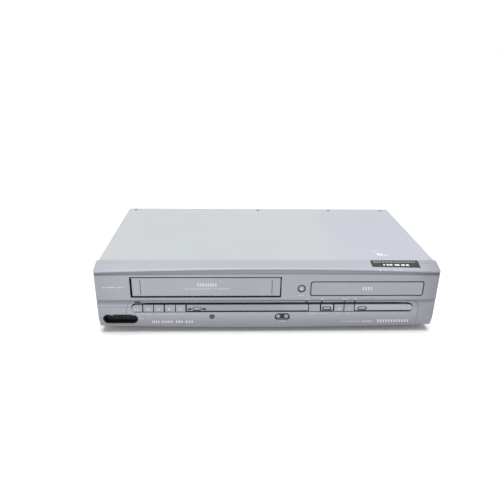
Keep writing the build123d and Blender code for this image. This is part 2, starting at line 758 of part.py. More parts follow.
with BuildPart() as cord_gland:
    barrel(gland_x, (panel_in - 6, panel_out), gland_z, gland_body)
    barrel(gland_x, (panel_out, panel_out + 2.2), gland_z, gland_body + 2.4)
    barrel(gland_x, (panel_in - 7, panel_out + 3), gland_z, gland_bore, Mode.SUBTRACT)

with BuildPart() as jack_block:
    for left, right, high in ((53.0, 99.0, 53.0), (107.0, 153.0, 53.0)):
        block((left, right), (panel_in - 13, panel_in - 0.1), (board_top, high))
    for x, z in jacks_at:
        barrel(x, (panel_in - 1, panel_out + 0.6), z, jack_disc)
    barrel(s_jack[0], (panel_in - 1, panel_out + 0.6), s_jack[1], 5.4)
    barrel(s_jack[0], (panel_in - 3, panel_out + 2), s_jack[1], 4.2, Mode.SUBTRACT)

with BuildPart() as jack_shells:
    for x, z in jacks_at:
        barrel(x, (panel_out + 0.6, rear_y), z, jack_radius)
        barrel(x, (panel_out + 1.4, rear_y + 1), z, jack_radius - 0.6, Mode.SUBTRACT)
        barrel(x, (panel_out, panel_out + 2), z, 1.6, Mode.SUBTRACT)

with BuildPart() as aerial_block:
    block((aerial_x - 13, aerial_x + 13), (panel_in - 14, panel_in - 0.1), (board_top, 55.0))
    for z in aerial_z:
        barrel(aerial_x, (panel_in - 0.2, panel_out + 0.8), z, aerial_radius + 0.4)
        barrel(aerial_x, (panel_out + 0.8, rear_y - 0.2), z, aerial_radius)
        barrel(aerial_x, (panel_out + 1, rear_y + 1), z, 0.9, Mode.SUBTRACT)

with BuildPart() as cover_screw_set:
    for x, y in cover_screws:
        post(x, y, (height - sheet, height - 0.1), screw_head)
        post(x, y, (height - 6, height - sheet), screw_shank)
    for side in (-1, 1):
        for y, z in side_screws:
            cross_pin(sorted((side * cover_half, side * (cover_half + 1.5))), y, z, 3.2)
            cross_pin(sorted((side * cover_half, side * (cover_half - 6))), y, z, screw_shank)

deck_legs = [(x, y) for x in (deck_left + 6, deck_right - 6) for y in (deck_front + 6, deck_rear - 6)]
loader_legs = [(mouth_x + side * 70.0, y) for side in (-1, 1) for y in (-84.0, 70.0)]
leg_radius = 3.5

with BuildPart() as main_board:
    block((main_left, main_right), (main_front, main_rear), (board_low_z, board_top))
    for x, y in deck_legs + loader_legs:
        post(x, y, (board_low_z - 1, board_top + 1), leg_radius + 1, Mode.SUBTRACT)

with BuildPart() as power_board:
    block((power_left, power_right), (power_front, main_rear), (board_low_z, board_top))
    for x, y in deck_legs:
        post(x, y, (board_low_z - 1, board_top + 1), leg_radius + 1, Mode.SUBTRACT)

with BuildPart() as board_parts:
    block((-150.0, -118.0), (40.0, 68.0), (board_top, board_top + 15.5))
    block((-146.0, -122.0), (36.0, 72.0), (board_top, board_top + 12.0))
    for x, y, radius in ((-100.0, 46.0, 8.0), (-100.0, 66.0, 6.0), (-86.0, 60.0, 5.0)):
        post(x, y, (board_top, board_top + 14.0), radius)
    block((-186.0, -180.0), (50.0, 74.0), (board_top, board_top + 15.0))
    for x, y, half in ((90.0, 60.0, 14.0), (140.0, 50.0, 10.0), (60.0, 40.0, 8.0), (170.0, 80.0, 9.0)):
        block((x - half, x + half), (y - half, y + half), (board_top, board_top + 2.4))
    for x in (110.0, 120.0, 158.0):
        post(x, 84.0, (board_top, board_top + 9.0), 3.2)

# ---- cassette deck ------------------------------------------------------------------------------
side_plate = 1.6
guide_slot = 2.4
bearing_rise = 1.7  # capstan bearing, which stays under the pinch lever
with BuildPart() as deck_plate:
    with BuildSketch(Plane.XY.offset(deck_top - deck_sheet)):
        with Locations(((deck_left + deck_right) / 2, (deck_front + deck_rear) / 2)):
            RectangleRounded(deck_right - deck_left, deck_rear - deck_front, 4)
    extrude(amount=deck_sheet)
    for side in (-1, 1):
        reach = sorted((deck_x + side * deck_side, deck_x + side * (deck_side + side_plate)))
        block(reach, (-82, 20), (deck_top, side_plate_high))
    for x, y in deck_legs:
        post(x, y, (base_top, deck_top - deck_sheet), leg_radius)
    # curved slots that the tape guides run in
    for start, sweep in ((270 - guide_start, -guide_sweep), (270 + guide_start, guide_sweep)):
        with BuildSketch(Plane.XY.offset(deck_top - deck_sheet - 1)):
            with Locations((deck_x, drum_y)):
                SlotArc(CenterArc((0, 0), guide_radius, start, sweep, mode=Mode.PRIVATE),
                        2 * guide_slot)
        extrude(amount=deck_sheet + 2, mode=Mode.SUBTRACT)
    # capstan bearing, reel pins and the lever's pin
    post(capstan_x, capstan_y, (34.1, deck_top + bearing_rise), 5.0)
    post(capstan_x, capstan_y, (30.0, 50.0), capstan_radius + running, Mode.SUBTRACT)
    for side in (-1, 1):
        post(deck_x + side * reel_spread, reel_y, (deck_top, 50.0), pin_radius)
    post(lever_x, lever_y, (deck_top, 46.0), pin_radius)

drum_plane = Plane(Location((deck_x, drum_y, deck_top), (drum_tilt, 0, 0)))
with BuildPart() as lower_drum:
    post(deck_x, drum_y, (deck_top, deck_top + 10), 20.0)
    with BuildSketch(drum_plane.offset(6)):
        Circle(drum_radius)
    extrude(amount=18)
    with BuildSketch(drum_plane.offset(20)):
        Circle(2.0)
    extrude(amount=24)

with BuildPart() as upper_drum:
    with BuildSketch(drum_plane.offset(24.3)):
        Circle(drum_radius)
    extrude(amount=14)
    with BuildSketch(drum_plane.offset(38.3)):
        Circle(20.0)
    extrude(amount=5)
    with BuildSketch(drum_plane.offset(38.3)):
        with PolarLocations(25.5, 6):
            Circle(2.6)
    extrude(amount=-8, mode=Mode.SUBTRACT)
    with BuildSketch(drum_plane.offset(20)):
        Circle(2.0 + running)
    extrude(amount=30, mode=Mode.SUBTRACT)

with BuildPart() as capstan:
    post(capstan_x, capstan_y, (26.0, 66.0), capstan_radius)
    post(capstan_x, capstan_y, (27.0, 33.8), flywheel_radius)
    with BuildSketch(Plane.XY.offset(27.0)):
        with Locations((capstan_x, capstan_y)):
            Circle(flywheel_radius - 4)
            Circle(6.0, mode=Mode.SUBTRACT)
    extrude(amount=3, mode=Mode.SUBTRACT)

reels = {}
for name, side in (("supply_reel", -1), ("take_up_reel", 1)):
    with BuildPart() as reel:
        centre = (deck_x + side * reel_spread, reel_y)
        post(*centre, (deck_top + 0.3, deck_top + 3.3), 20.0)
        post(*centre, (deck_top + 3.3, 48.0), 8.0)
        with BuildSketch(Plane.XY.offset(deck_top + 3.3)):
            with Locations(centre):
                with PolarLocations(9.0, 3):
                    Rectangle(4.0, 2.0)
        extrude(amount=9.0)
        post(*centre, (deck_top, 52.0), pin_radius + running, Mode.SUBTRACT)
    reels[name] = reel

# pinch roller: swings from its rest place to the capstan
to_capstan = hypot(capstan_x - lever_x, capstan_y - lever_y)
roller_touch = capstan_radius + roller_radius + roller_gap


def lever_angle(reach):
    """Angle at the lever's pin between the capstan and a roller that far from it."""
    return acos((to_capstan**2 + lever_length**2 - reach**2) / (2 * to_capstan * lever_length))


lever_rest = atan2(capstan_y - lever_y, capstan_x - lever_x) + lever_angle(roller_rest)
lever_swing = degrees(lever_angle(roller_rest) - lever_angle(roller_touch))
roller_x = lever_x + lever_length * cos(lever_rest)
roller_y = lever_y + lever_length * sin(lever_rest)

with BuildPart() as pinch_lever:
    with BuildSketch(Plane.XY.offset(deck_top + 2)):
        with Locations(Location(((lever_x + roller_x) / 2, (lever_y + roller_y) / 2, 0),
                                (0, 0, degrees(lever_rest)))):
            SlotCenterToCenter(lever_length, 8.0)
    extrude(amount=2.0)
    post(lever_x, lever_y, (deck_top + 0.3, deck_top + 6), 3.6)
    post(lever_x, lever_y, (deck_top, deck_top + 9), pin_radius + running, Mode.SUBTRACT)
    post(roller_x, roller_y, (deck_top + 4, 62.0), pin_radius)

with BuildPart() as pinch_roller:
    post(roller_x, roller_y, (deck_top + 4.3, 60.0), roller_radius)
    post(roller_x, roller_y, (deck_top, 64.0), pin_radius + running, Mode.SUBTRACT)

guides = {}
for name, angle in (("supply_guide", 270 - guide_start), ("take_up_guide", 270 + guide_start)):
    with BuildPart() as guide:
        x = deck_x + guide_radius * cos(radians(angle))
        y = drum_y + guide_radius * sin(radians(angle))
        post(x, y, (deck_top + 0.2, deck_top + 6), 4.5)
        post(x, y, (34.6, deck_top + 0.2), 1.9)
        post(x, y, (34.6, deck_top - deck_sheet - 0.3), 4.0)
        post(x, y, (deck_top + 6, 64.0), 2.5)
        post(x, y, (62.0, 64.0), 3.4)
    guides[name] = guide

holder_low, holder_sheet = 51.0, 1.0
ledge = 15.0
holder_rear = holder_front + holder_length
pin_stations = (holder_front + 17, holder_rear - 13)
pin_height = 66.0
slider_outer = deck_side - sliding

with BuildPart() as cassette_holder:
    block((deck_x - holder_half, deck_x + holder_half), (holder_front, holder_rear),
          (holder_low, holder_high))
    block((deck_x - holder_half + holder_sheet, deck_x + holder_half - holder_sheet),
          (holder_front - 1, holder_rear + 1), (holder_low + holder_sheet, holder_high - holder_sheet),
          Mode.SUBTRACT)
    block((deck_x - holder_half + ledge, deck_x + holder_half - ledge),
          (holder_front - 1, holder_rear + 1), (holder_low - 1, holder_low + 2), Mode.SUBTRACT)
    block((deck_x - 60, deck_x + 60), (holder_front + 16, holder_rear - 14),
          (holder_high - 2, holder_high + 1), Mode.SUBTRACT)
    for side in (-1, 1):
        for y in pin_stations:
            reach = sorted((deck_x + side * (holder_half - 0.2), deck_x + side * (slider_outer - 0.2)))
            cross_pin(reach, y, pin_height, pin_radius)

with BuildPart() as loading_slider:
    for side in (-1, 1):
        reach = sorted((deck_x + side * slider_outer, deck_x + side * (slider_outer - slider_sheet)))
        block(reach, (holder_front + 7, holder_rear - 3), (slider_low, slider_high))
        for y in pin_stations:
            block((reach[0] - 1, reach[1] + 1), (y - pin_radius - 0.1, y + pin_radius + 0.1),
                  (pin_height - holder_down - pin_radius - 0.3, pin_height + pin_radius + 0.3),
                  Mode.SUBTRACT)
    block((deck_x - slider_outer, deck_x + slider_outer), (-62, -50),
          (slider_high - 1, slider_high + 0.2))

tray_motor_x, tray_motor_y = 74.0, -82.0
with BuildPart() as loading_motors:
    post(tray_motor_x, tray_motor_y, (32.0, loader_low), 10.5)
    cross_pin((-172, -142), 74.0, deck_top + 12.1, 12.0)
    cross_pin((-142, -132), 74.0, deck_top + 12.1, 1.2)
    cross_pin((-141, -133), 74.0, deck_top + 12.1, 4.0)
    block((-170, -144), (66, 82), (deck_top, deck_top + 5))

# ---- disc drive ---------------------------------------------------------------------------------
pitch = pi * module
gear_radius = module * gear_teeth / 2
gear_x = rack_line + gear_radius
addendum, dedendum = 0.9 * module, 1.25 * module
backlash = 0.08
rack_angle = radians(20)
gear_low = tray_low - 2.4
rack_low = tray_low - 2.5
tray_left = mouth_x - tray_width / 2
tray_front_y = face_y - 0.5 + tray_front_thick
tray_rear = tray_front_y + tray_length
tray_travel = rack_pitches * pitch

with BuildPart() as tray_front:
    with BuildSketch(front_plane(tray_front_y)):
        with Locations((mouth_x, mouth_z)):
            RectangleRounded(mouth_width - 2 * mouth_gap, mouth_height - 2 * mouth_gap,
                             mouth_corner - 0.6)
    extrude(amount=tray_front_thick)
    chamfer(tray_front.faces().sort_by(Axis.Y)[0].edges(), 0.5)

rack_count = int((tray_rear - 2 - gear_y) / pitch)
with BuildPart() as disc_tray:
    block((tray_left, tray_left + tray_width), (tray_front_y, tray_rear),
          (tray_low, tray_low + tray_thick))
    fillet(disc_tray.edges().filter_by(Axis.Z).group_by(Axis.Y)[-1], 6)
    post(mouth_x, disc_y, (tray_low + 3.5, tray_low + 20), disc_recess, Mode.SUBTRACT)
    post(mouth_x, disc_y, (tray_low + 2.5, tray_low + 20), small_recess, Mode.SUBTRACT)
    with BuildSketch(Plane.XY.offset(tray_low - 1)):
        with Locations((mouth_x, disc_y)):
            Circle(tray_slot / 2)
        with Locations((mouth_x, (disc_y + tray_rear + 10) / 2)):
            Rectangle(tray_slot, tray_rear + 10 - disc_y)
    extrude(amount=tray_thick + 2, mode=Mode.SUBTRACT)
    # rack along the underside
    rack_root = rack_line - dedendum
    block((rack_root - 3, rack_root), (tray_front_y, tray_rear - 8), (rack_low, tray_low))
    with BuildSketch(Plane.XY.offset(rack_low)):
        for n in range(-5, rack_count - 3):
            y = gear_y + (n + 0.5) * pitch
            root_half = pitch / 4 - backlash + dedendum * tan(rack_angle)
            tip_half = pitch / 4 - backlash - addendum * tan(rack_angle)
            with BuildLine():
                Polyline(
                    (rack_root, y - root_half),
                    (rack_line + addendum, y - tip_half),
                    (rack_line + addendum, y + tip_half),
                    (rack_root, y + root_half),
                    (rack_root, y - root_half),
                )
            make_face()
    extrude(amount=tray_low - rack_low)

base_radius = gear_radius * cos(rack_angle)


def tooth_half_angle(radius):
    """Half of an involute tooth's angle at a radius, less the backlash."""
    lean = acos(min(1, base_radius / radius))
    flank = tan(lean) - lean
    return pi / (2 * gear_teeth) - backlash / gear_radius + tan(rack_angle) - rack_angle - flank


tooth_radii = [gear_radius - dedendum, base_radius, gear_radius, gear_radius + addendum]


def tooth_points(middle):
    """Both flanks of one tooth, root to tip and back."""
    rising = [(r, middle - tooth_half_angle(max(r, base_radius))) for r in tooth_radii]
    falling = [(r, 2 * middle - a) for r, a in reversed(rising)]
    return [(r * cos(a), r * sin(a)) for r, a in rising + falling]


with BuildPart() as tray_gear:
    with BuildSketch(Plane.XY.offset(gear_low)):
        with Locations((gear_x, gear_y)):
            teeth = [p for n in range(gear_teeth) for p in tooth_points(pi + 2 * pi * n / gear_teeth)]
            Polygon(*teeth, align=None)
            Circle(pin_radius + running, mode=Mode.SUBTRACT)
    extrude(amount=tray_low - 0.2 - gear_low)
    with BuildSketch(Plane.XY.offset(loader_low + loader_floor + 0.3)):
        with Locations((gear_x, gear_y)):
            Circle(4.5)
            Circle(pin_radius + running, mode=Mode.SUBTRACT)
    extrude(amount=gear_low - loader_low - loader_floor - 0.3)

floor_top = loader_low + loader_floor
traverse_left, traverse_right = mouth_x - 31.0, mouth_x + 31.0
traverse_front, traverse_rear = disc_y - 30.0, traverse_pivot_y + 4.0
traverse_low, traverse_sheet = 49.4, 2.0
pivot_z = traverse_low + traverse_sheet / 2 + 0.6

with BuildPart() as loader_frame:
    left, right = mouth_x - loader_half, mouth_x + loader_half
    block((left, right), (loader_front, loader_rear), (loader_low, floor_top))
    block((traverse_left - 4, traverse_right + 4), (traverse_front - 4, traverse_rear + 4),
          (loader_low - 1, floor_top + 1), Mode.SUBTRACT)
    for side in (-1, 1):
        outer, inner = mouth_x + side * loader_half, mouth_x + side * (loader_half - loader_wall)
        lip = mouth_x + side * (tray_width / 2 - 1.0)
        block(sorted((outer, inner)), (loader_front, loader_rear), (floor_top, rail_top))
        block(sorted((inner, lip)), (loader_front, loader_rear), (tray_low - 1.5, tray_low - 0.2))
        block(sorted((inner, lip)), (loader_front + 6, loader_rear),
              (tray_low + tray_thick + 0.2, tray_low + tray_thick + 1.4))
        # ears for the traverse's pins
        near = mouth_x + side * 31.0
        ear = sorted((near + side * 0.6, near + side * 4.6))
        block(ear, (traverse_pivot_y - 4, traverse_rear + 6), (loader_low, pivot_z + 3))
        cross_pin((ear[0] - 1, ear[1] + 1), traverse_pivot_y, pivot_z, pin_radius + running,
                  Mode.SUBTRACT)
    for x, y in loader_legs:
        post(x, y, (base_top, loader_low), leg_radius)
    post(gear_x, gear_y, (floor_top, tray_low - 0.4), pin_radius)

bore_of_clamp = 7.6
bridge_low, bridge_thick = rail_top, 2.0
with BuildPart() as clamp_bridge:
    block((mouth_x - loader_half, mouth_x + loader_half), (disc_y - 13, disc_y + 13),
          (bridge_low, bridge_low + bridge_thick))
    post(mouth_x, disc_y, (bridge_low - 1, bridge_low + 4), bore_of_clamp, Mode.SUBTRACT)

with BuildPart() as clamp_disc:
    bridge_top = bridge_low + bridge_thick
    post(mouth_x, disc_y, (67.4, bridge_low - 0.6), 14.0)
    post(mouth_x, disc_y, (bridge_low - 0.6, bridge_top + 0.1), bore_of_clamp - 0.08)
    post(mouth_x, disc_y, (bridge_top + 0.1, bridge_top + 1.5), 10.0)
    post(mouth_x, disc_y, (67.0, 69.5), 8.0, Mode.SUBTRACT)

rod_radius, rod_z = 1.5, 53.6
rod_reach = 21.4
rod_front, rod_rear = disc_y + 10.6, traverse_pivot_y - 5.0
sled_front, sled_length = disc_y + 14.4, 20.0
with BuildPart() as traverse:
    block((traverse_left, traverse_right), (traverse_front, traverse_rear),
          (traverse_low, traverse_low + traverse_sheet))
    block((mouth_x - 24, mouth_x + 24), (rod_front + 3, rod_rear - 3),
          (traverse_low - 1, traverse_low + 4), Mode.SUBTRACT)
    post(mouth_x, disc_y, (traverse_low - 1, traverse_low + 4), 1.6, Mode.SUBTRACT)
    for side in (-1, 1):
        x = mouth_x + side * rod_reach
        for y in (rod_front, rod_rear):
            block((x - 3, x + 3), (y - 3, y + 3), (traverse_low, rod_z + 2.6))
            barrel(x, (y - 4, y + 4), rod_z, rod_radius + 0.05, Mode.SUBTRACT)
        edge = mouth_x + side * 31.0
        cross_pin(sorted((edge - side * 3, edge + side * 4.4)), traverse_pivot_y, pivot_z, pin_radius)
        block(sorted((edge - side * 4, edge)), (traverse_pivot_y - 3, traverse_pivot_y + 3),
              (traverse_low, pivot_z + 2.2))

with BuildPart() as guide_rods:
    for side in (-1, 1):
        barrel(mouth_x + side * rod_reach, (rod_front - 3, rod_rear + 3), rod_z, rod_radius)

with BuildPart() as laser_sled:
    block((mouth_x - 18.6, mouth_x + 18.6), (sled_front, sled_front + sled_length), (52.0, 56.6))
    block((mouth_x - rod_reach - 3, mouth_x + rod_reach + 3), (sled_front + 3, sled_front + 11),
          (51.6, 56.0))
    for side in (-1, 1):
        barrel(mouth_x + side * rod_reach, (sled_front - 1, sled_front + 21), rod_z,
               rod_radius + running, Mode.SUBTRACT)
    post(mouth_x, sled_front + 9, (56.6, 57.6), 5.0)
    post(mouth_x, sled_front + 9, (57.6, 58.2), 2.6)

with BuildPart() as spindle_motor:
    post(mouth_x, disc_y, (43.5, traverse_low), 13.0)
    post(mouth_x, disc_y, (traverse_low - 2, traverse_low + 1), 1.0 + running, Mode.SUBTRACT)

with BuildPart() as turntable:
    post(mouth_x, disc_y, (traverse_low - 1.6, 58.0), 1.0)
    post(mouth_x, disc_y, (57.6, 60.4), 13.5)
    with Locations((mouth_x, disc_y, 61.9)):
        Cone(7.4, 5.4, 3.0)

pieces = {
    "front_bezel": front_bezel,
    "control_panel": control_panel,
    "key_strip": key_strip,
    "lamp_windows": lamp_windows,
    "key_board": key_board,
    "key_switches": key_switches,
    "sensor_window": sensor_window,
    "jack_well": jack_well,
    "front_jacks": front_jacks,
    "cassette_door": cassette_door,
    "top_cover": top_cover,
    "base_plate": base_plate,
    "feet": feet,
    "rear_panel": rear_panel,
    "cord_gland": cord_gland,
    "jack_block": jack_block,
    "jack_shells": jack_shells,
    "aerial_block": aerial_block,
    "cover_screws": cover_screw_set,
    "main_board": main_board,
    "power_board": power_board,
    "board_parts": board_parts,
    "deck_plate": deck_plate,
    "lower_drum": lower_drum,
    "upper_drum": upper_drum,
    "capstan": capstan,
    "pinch_lever": pinch_lever,
    "pinch_roller": pinch_roller,
    "cassette_holder": cassette_holder,
    "loading_slider": loading_slider,
    "loading_motors": loading_motors,
    "tray_front": tray_front,
    "disc_tray": disc_tray,
    "tray_gear": tray_gear,
    "loader_frame": loader_frame,
    "clamp_bridge": clamp_bridge,
    "clamp_disc": clamp_disc,
    "traverse": traverse,
    "guide_rods": guide_rods,
    "laser_sled": laser_sled,
    "spindle_motor": spindle_motor,
    "turntable": turntable,
}
pieces.update(keys)
pieces.update(reels)
pieces.update(guides)
for name, piece in pieces.items():
    finish(piece, name)

print("door", door_angle, "carriage", holder_in, holder_down, "sled", sled_travel, "tilt", traverse_tilt)
print("lever swing", round(lever_swing, 2), "roller", round(roller_x, 3), round(roller_y, 3))
print("tray travel", round(tray_travel, 3), "hinge", round(hinge_y, 3), round(hinge_z, 3))
print("pieces", len(pieces))
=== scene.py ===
import math

import bpy
import numpy as np
from mathutils import Matrix, Vector


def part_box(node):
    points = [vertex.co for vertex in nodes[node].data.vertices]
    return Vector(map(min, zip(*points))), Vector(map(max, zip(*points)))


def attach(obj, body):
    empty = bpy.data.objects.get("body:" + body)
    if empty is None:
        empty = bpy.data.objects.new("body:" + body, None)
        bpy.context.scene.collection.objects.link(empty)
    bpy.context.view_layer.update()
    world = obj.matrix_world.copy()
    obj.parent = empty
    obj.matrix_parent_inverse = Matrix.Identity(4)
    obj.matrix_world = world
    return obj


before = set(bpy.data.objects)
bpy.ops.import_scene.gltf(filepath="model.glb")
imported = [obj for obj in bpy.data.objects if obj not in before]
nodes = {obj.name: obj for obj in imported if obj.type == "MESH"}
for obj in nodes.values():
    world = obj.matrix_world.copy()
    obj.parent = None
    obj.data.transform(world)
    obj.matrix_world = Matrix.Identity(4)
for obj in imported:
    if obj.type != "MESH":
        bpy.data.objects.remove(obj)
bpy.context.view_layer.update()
mm = 0.001
print("frame loaded:", len(nodes), "nodes")


def linear(red, green, blue):  # a colour as a screen shows it, 0 to 255, made linear
    def one(value):
        share = value / 255
        return share / 12.92 if share <= 0.04045 else ((share + 0.055) / 1.055) ** 2.4
    return (one(red), one(green), one(blue), 1.0)


def feed(tree, socket, value):  # a plain value is set on the socket, a node's output is linked to it
    if isinstance(value, bpy.types.NodeSocket):
        tree.links.new(value, socket)
    else:
        socket.default_value = value


def put(tree, kind, inputs=None, **settings):  # a node with its settings and inputs
    made = tree.nodes.new(kind)
    for key, value in settings.items():
        setattr(made, key, value)
    for key, value in (inputs or {}).items():
        feed(tree, made.inputs[key], value)
    return made


def calc(tree, operation, first, second=0.0, clamp=False):
    made = put(tree, "ShaderNodeMath", {0: first, 1: second}, operation=operation, use_clamp=clamp)
    return made.outputs[0]


def vectorCalc(tree, operation, *values):  # a vector, or one number for a length or a dot product
    made = put(tree, "ShaderNodeVectorMath", dict(enumerate(values)), operation=operation)
    return made.outputs["Value" if operation in ("LENGTH", "DOT_PRODUCT") else "Vector"]


def noiseOf(tree, point, scale, detail, roughness=0.5):
    inputs = {"Vector": point, "Scale": scale, "Detail": detail, "Roughness": roughness}
    return put(tree, "ShaderNodeTexNoise", inputs).outputs[0]


def span(tree, value, fromMin, fromMax, toMin, toMax):  # value carried from one span to another
    inputs = {"Value": value, "From Min": fromMin, "From Max": fromMax, "To Min": toMin, "To Max": toMax}
    return put(tree, "ShaderNodeMapRange", inputs).outputs[0]


def aboutOne(tree, value, middle, contrast, gain):  # 1 + (value - middle) x contrast x gain
    away = calc(tree, "SUBTRACT", value, middle)
    reach = calc(tree, "MULTIPLY", away, calc(tree, "MULTIPLY", contrast, gain))
    return calc(tree, "ADD", reach, 1.0)


def upward(tree):  # how far a face looks up, from -1 to 1
    normal = put(tree, "ShaderNodeTexCoord").outputs["Normal"]
    return put(tree, "ShaderNodeSeparateXYZ", {0: normal}).outputs[2]


def blendColours(tree, factor, first, second, mode="MIX"):
    made = put(tree, "ShaderNodeMix", data_type="RGBA", blend_type=mode)
    for place, value in ((0, factor), (6, first), (7, second)):
        feed(tree, made.inputs[place], value)
    return made.outputs[2]


def shaded(tree, colour, *shades):  # a colour times one or more grey multipliers
    total = shades[0]
    for shade in shades[1:]:
        total = calc(tree, "MULTIPLY", total, shade)
    grey = put(tree, "ShaderNodeCombineColor", {0: total, 1: total, 2: total}).outputs[0]
    return blendColours(tree, 1.0, colour, grey, "MULTIPLY")


def newGroup(name, takes, gives):  # a shader node group with named inputs and outputs
    tree = bpy.data.node_groups.new(name, "ShaderNodeTree")
    for label, value in takes.items():
        kind = "NodeSocketVector" if isinstance(value, tuple) else "NodeSocketFloat"
        tree.interface.new_socket(label, in_out="INPUT", socket_type=kind).default_value = value
    for label in gives:
        tree.interface.new_socket(label, in_out="OUTPUT", socket_type="NodeSocketFloat")
    entry = tree.nodes.new("NodeGroupInput").outputs
    leave = tree.nodes.new("NodeGroupOutput").inputs
    return tree, entry, leave


def useGroup(tree, group, **inputs):
    return put(tree, "ShaderNodeGroup", inputs, node_tree=group).outputs


def makeFineGrain():  # two noises of near scales: flake and moulding grain, as a shade about 1 and a height
    tree, entry, leave = newGroup(
        "fineGrain", {"point": (0.0, 0.0, 0.0), "scale": 2500.0, "contrast": 0.05}, ("shade", "height"))
    finer = 2.7  # the second noise's scale, in times the first's
    coarse = noiseOf(tree, entry["point"], entry["scale"], 2.0)
    fine = noiseOf(tree, entry["point"], calc(tree, "MULTIPLY", entry["scale"], finer), 1.0)
    both = calc(tree, "ADD", coarse, fine)
    tree.links.new(aboutOne(tree, both, 1.0, entry["contrast"], 1.0), leave["shade"])
    tree.links.new(both, leave["height"])
    return tree


def makeCloudTone():  # broad unevenness of a surface, as a shade about 1
    tree, entry, leave = newGroup(
        "cloudTone", {"point": (0.0, 0.0, 0.0), "scale": 9.0, "contrast": 0.04}, ("shade",))
    noise = noiseOf(tree, entry["point"], entry["scale"], 4.0)
    tree.links.new(aboutOne(tree, noise, 0.5, entry["contrast"], 4.0), leave["shade"])
    return tree


def makeScuffPatch():  # scratches inside a soft ellipsoid: a stretched noise cut off sharply
    tree, entry, leave = newGroup(
        "scuffPatch",
        {"point": (0.0, 0.0, 0.0), "centre": (0.0, 0.0, 0.0), "reach": (0.01, 0.01, 0.01),
         "grain": (300.0, 300.0, 300.0), "amount": 0.5},
        ("mask",))
    core = 0.35  # share of the reach over which the patch is full
    cutFrom, cutTo = 0.86, 0.93  # levels between which a scratch begins
    away = vectorCalc(tree, "SUBTRACT", entry["point"], entry["centre"])
    length = vectorCalc(tree, "LENGTH", vectorCalc(tree, "DIVIDE", away, entry["reach"]))
    inside = span(tree, length, core, 1.0, 1.0, 0.0)
    noise = noiseOf(tree, vectorCalc(tree, "MULTIPLY", entry["point"], entry["grain"]), 1.0, 5.0, 0.65)
    level = calc(tree, "ADD", noise, calc(tree, "MULTIPLY", inside, entry["amount"]))
    cut = span(tree, level, cutFrom, cutTo, 0.0, 1.0)
    tree.links.new(calc(tree, "MULTIPLY", cut, inside, clamp=True), leave["mask"])
    return tree


def makeEdgeRub():  # how far a rounded normal leans from the true one, broken up by noise
    tree, entry, leave = newGroup(
        "edgeRub", {"point": (0.0, 0.0, 0.0), "radius": 0.0006, "breakup": 400.0}, ("mask",))
    kept, worn = 0.985, 0.8  # agreement of the two normals where the rub begins and where it is full
    thin, thick = 0.42, 0.6  # noise where the rub is broken and where it is full
    eased = put(tree, "ShaderNodeBevel", {"Radius": entry["radius"]}, samples=4).outputs[0]
    true = put(tree, "ShaderNodeNewGeometry").outputs["Normal"]
    edge = span(tree, vectorCalc(tree, "DOT_PRODUCT", eased, true), kept, worn, 0.0, 1.0)
    broken = span(tree, noiseOf(tree, entry["point"], entry["breakup"], 3.0), thin, thick, 0.0, 1.0)
    tree.links.new(calc(tree, "MULTIPLY", edge, broken, clamp=True), leave["mask"])
    return tree


def makeDrawnLines():  # long fine lines from a noise stretched along one axis
    tree, entry, leave = newGroup(
        "drawnLines", {"point": (0.0, 0.0, 0.0), "stretch": (20.0, 900.0, 900.0), "contrast": 0.1},
        ("shade", "height"))
    noise = noiseOf(tree, vectorCalc(tree, "MULTIPLY", entry["point"], entry["stretch"]), 1.0, 3.0)
    tree.links.new(aboutOne(tree, noise, 0.5, entry["contrast"], 2.0), leave["shade"])
    tree.links.new(noise, leave["height"])
    return tree


def makeSettledDust():  # dust on faces that look up, thicker where a noise is high
    tree, entry, leave = newGroup(
        "settledDust", {"point": (0.0, 0.0, 0.0), "scale": 60.0, "amount": 0.3}, ("mask",))
    steep = 0.3  # a face that looks up less than this holds no dust
    thin, thick, least = 0.35, 0.75, 0.2  # noise where the dust is thinnest and full, and its thinnest share
    up = span(tree, upward(tree), steep, 1.0, 0.0, 1.0)
    patch = span(tree, noiseOf(tree, entry["point"], entry["scale"], 6.0), thin, thick, least, 1.0)
    settled = calc(tree, "MULTIPLY", calc(tree, "MULTIPLY", up, patch), entry["amount"], clamp=True)
    tree.links.new(settled, leave["mask"])
    return tree


def makeTurnedRings():  # rings about an upright axis, from the distance to it
    tree, entry, leave = newGroup(
        "turnedRings", {"point": (0.0, 0.0, 0.0), "centre": (0.0, 0.0, 0.0), "pitch": 0.0004,
                        "contrast": 0.1}, ("shade", "height"))
    away = vectorCalc(tree, "SUBTRACT", entry["point"], entry["centre"])
    flat = vectorCalc(tree, "MULTIPLY", away, (1.0, 1.0, 0.0))
    rings = calc(tree, "DIVIDE", vectorCalc(tree, "LENGTH", flat), entry["pitch"])
    inputs = {"W": rings, "Scale": 1.0, "Detail": 2.0}
    noise = put(tree, "ShaderNodeTexNoise", inputs, noise_dimensions="1D").outputs[0]
    tree.links.new(aboutOne(tree, noise, 0.5, entry["contrast"], 2.0), leave["shade"])
    tree.links.new(noise, leave["height"])
    return tree


def makeCreviceShade():  # how open a point is within a short reach: 0 deep in a gap, 1 in the open
    tree, entry, leave = newGroup("creviceShade", {"reach": 0.004, "shut": 0.3, "clear": 0.75}, ("open",))
    around = put(tree, "ShaderNodeAmbientOcclusion", {"Distance": entry["reach"]}, samples=8)
    tree.links.new(span(tree, around.outputs["AO"], entry["shut"], entry["clear"], 0.0, 1.0), leave["open"])
    return tree


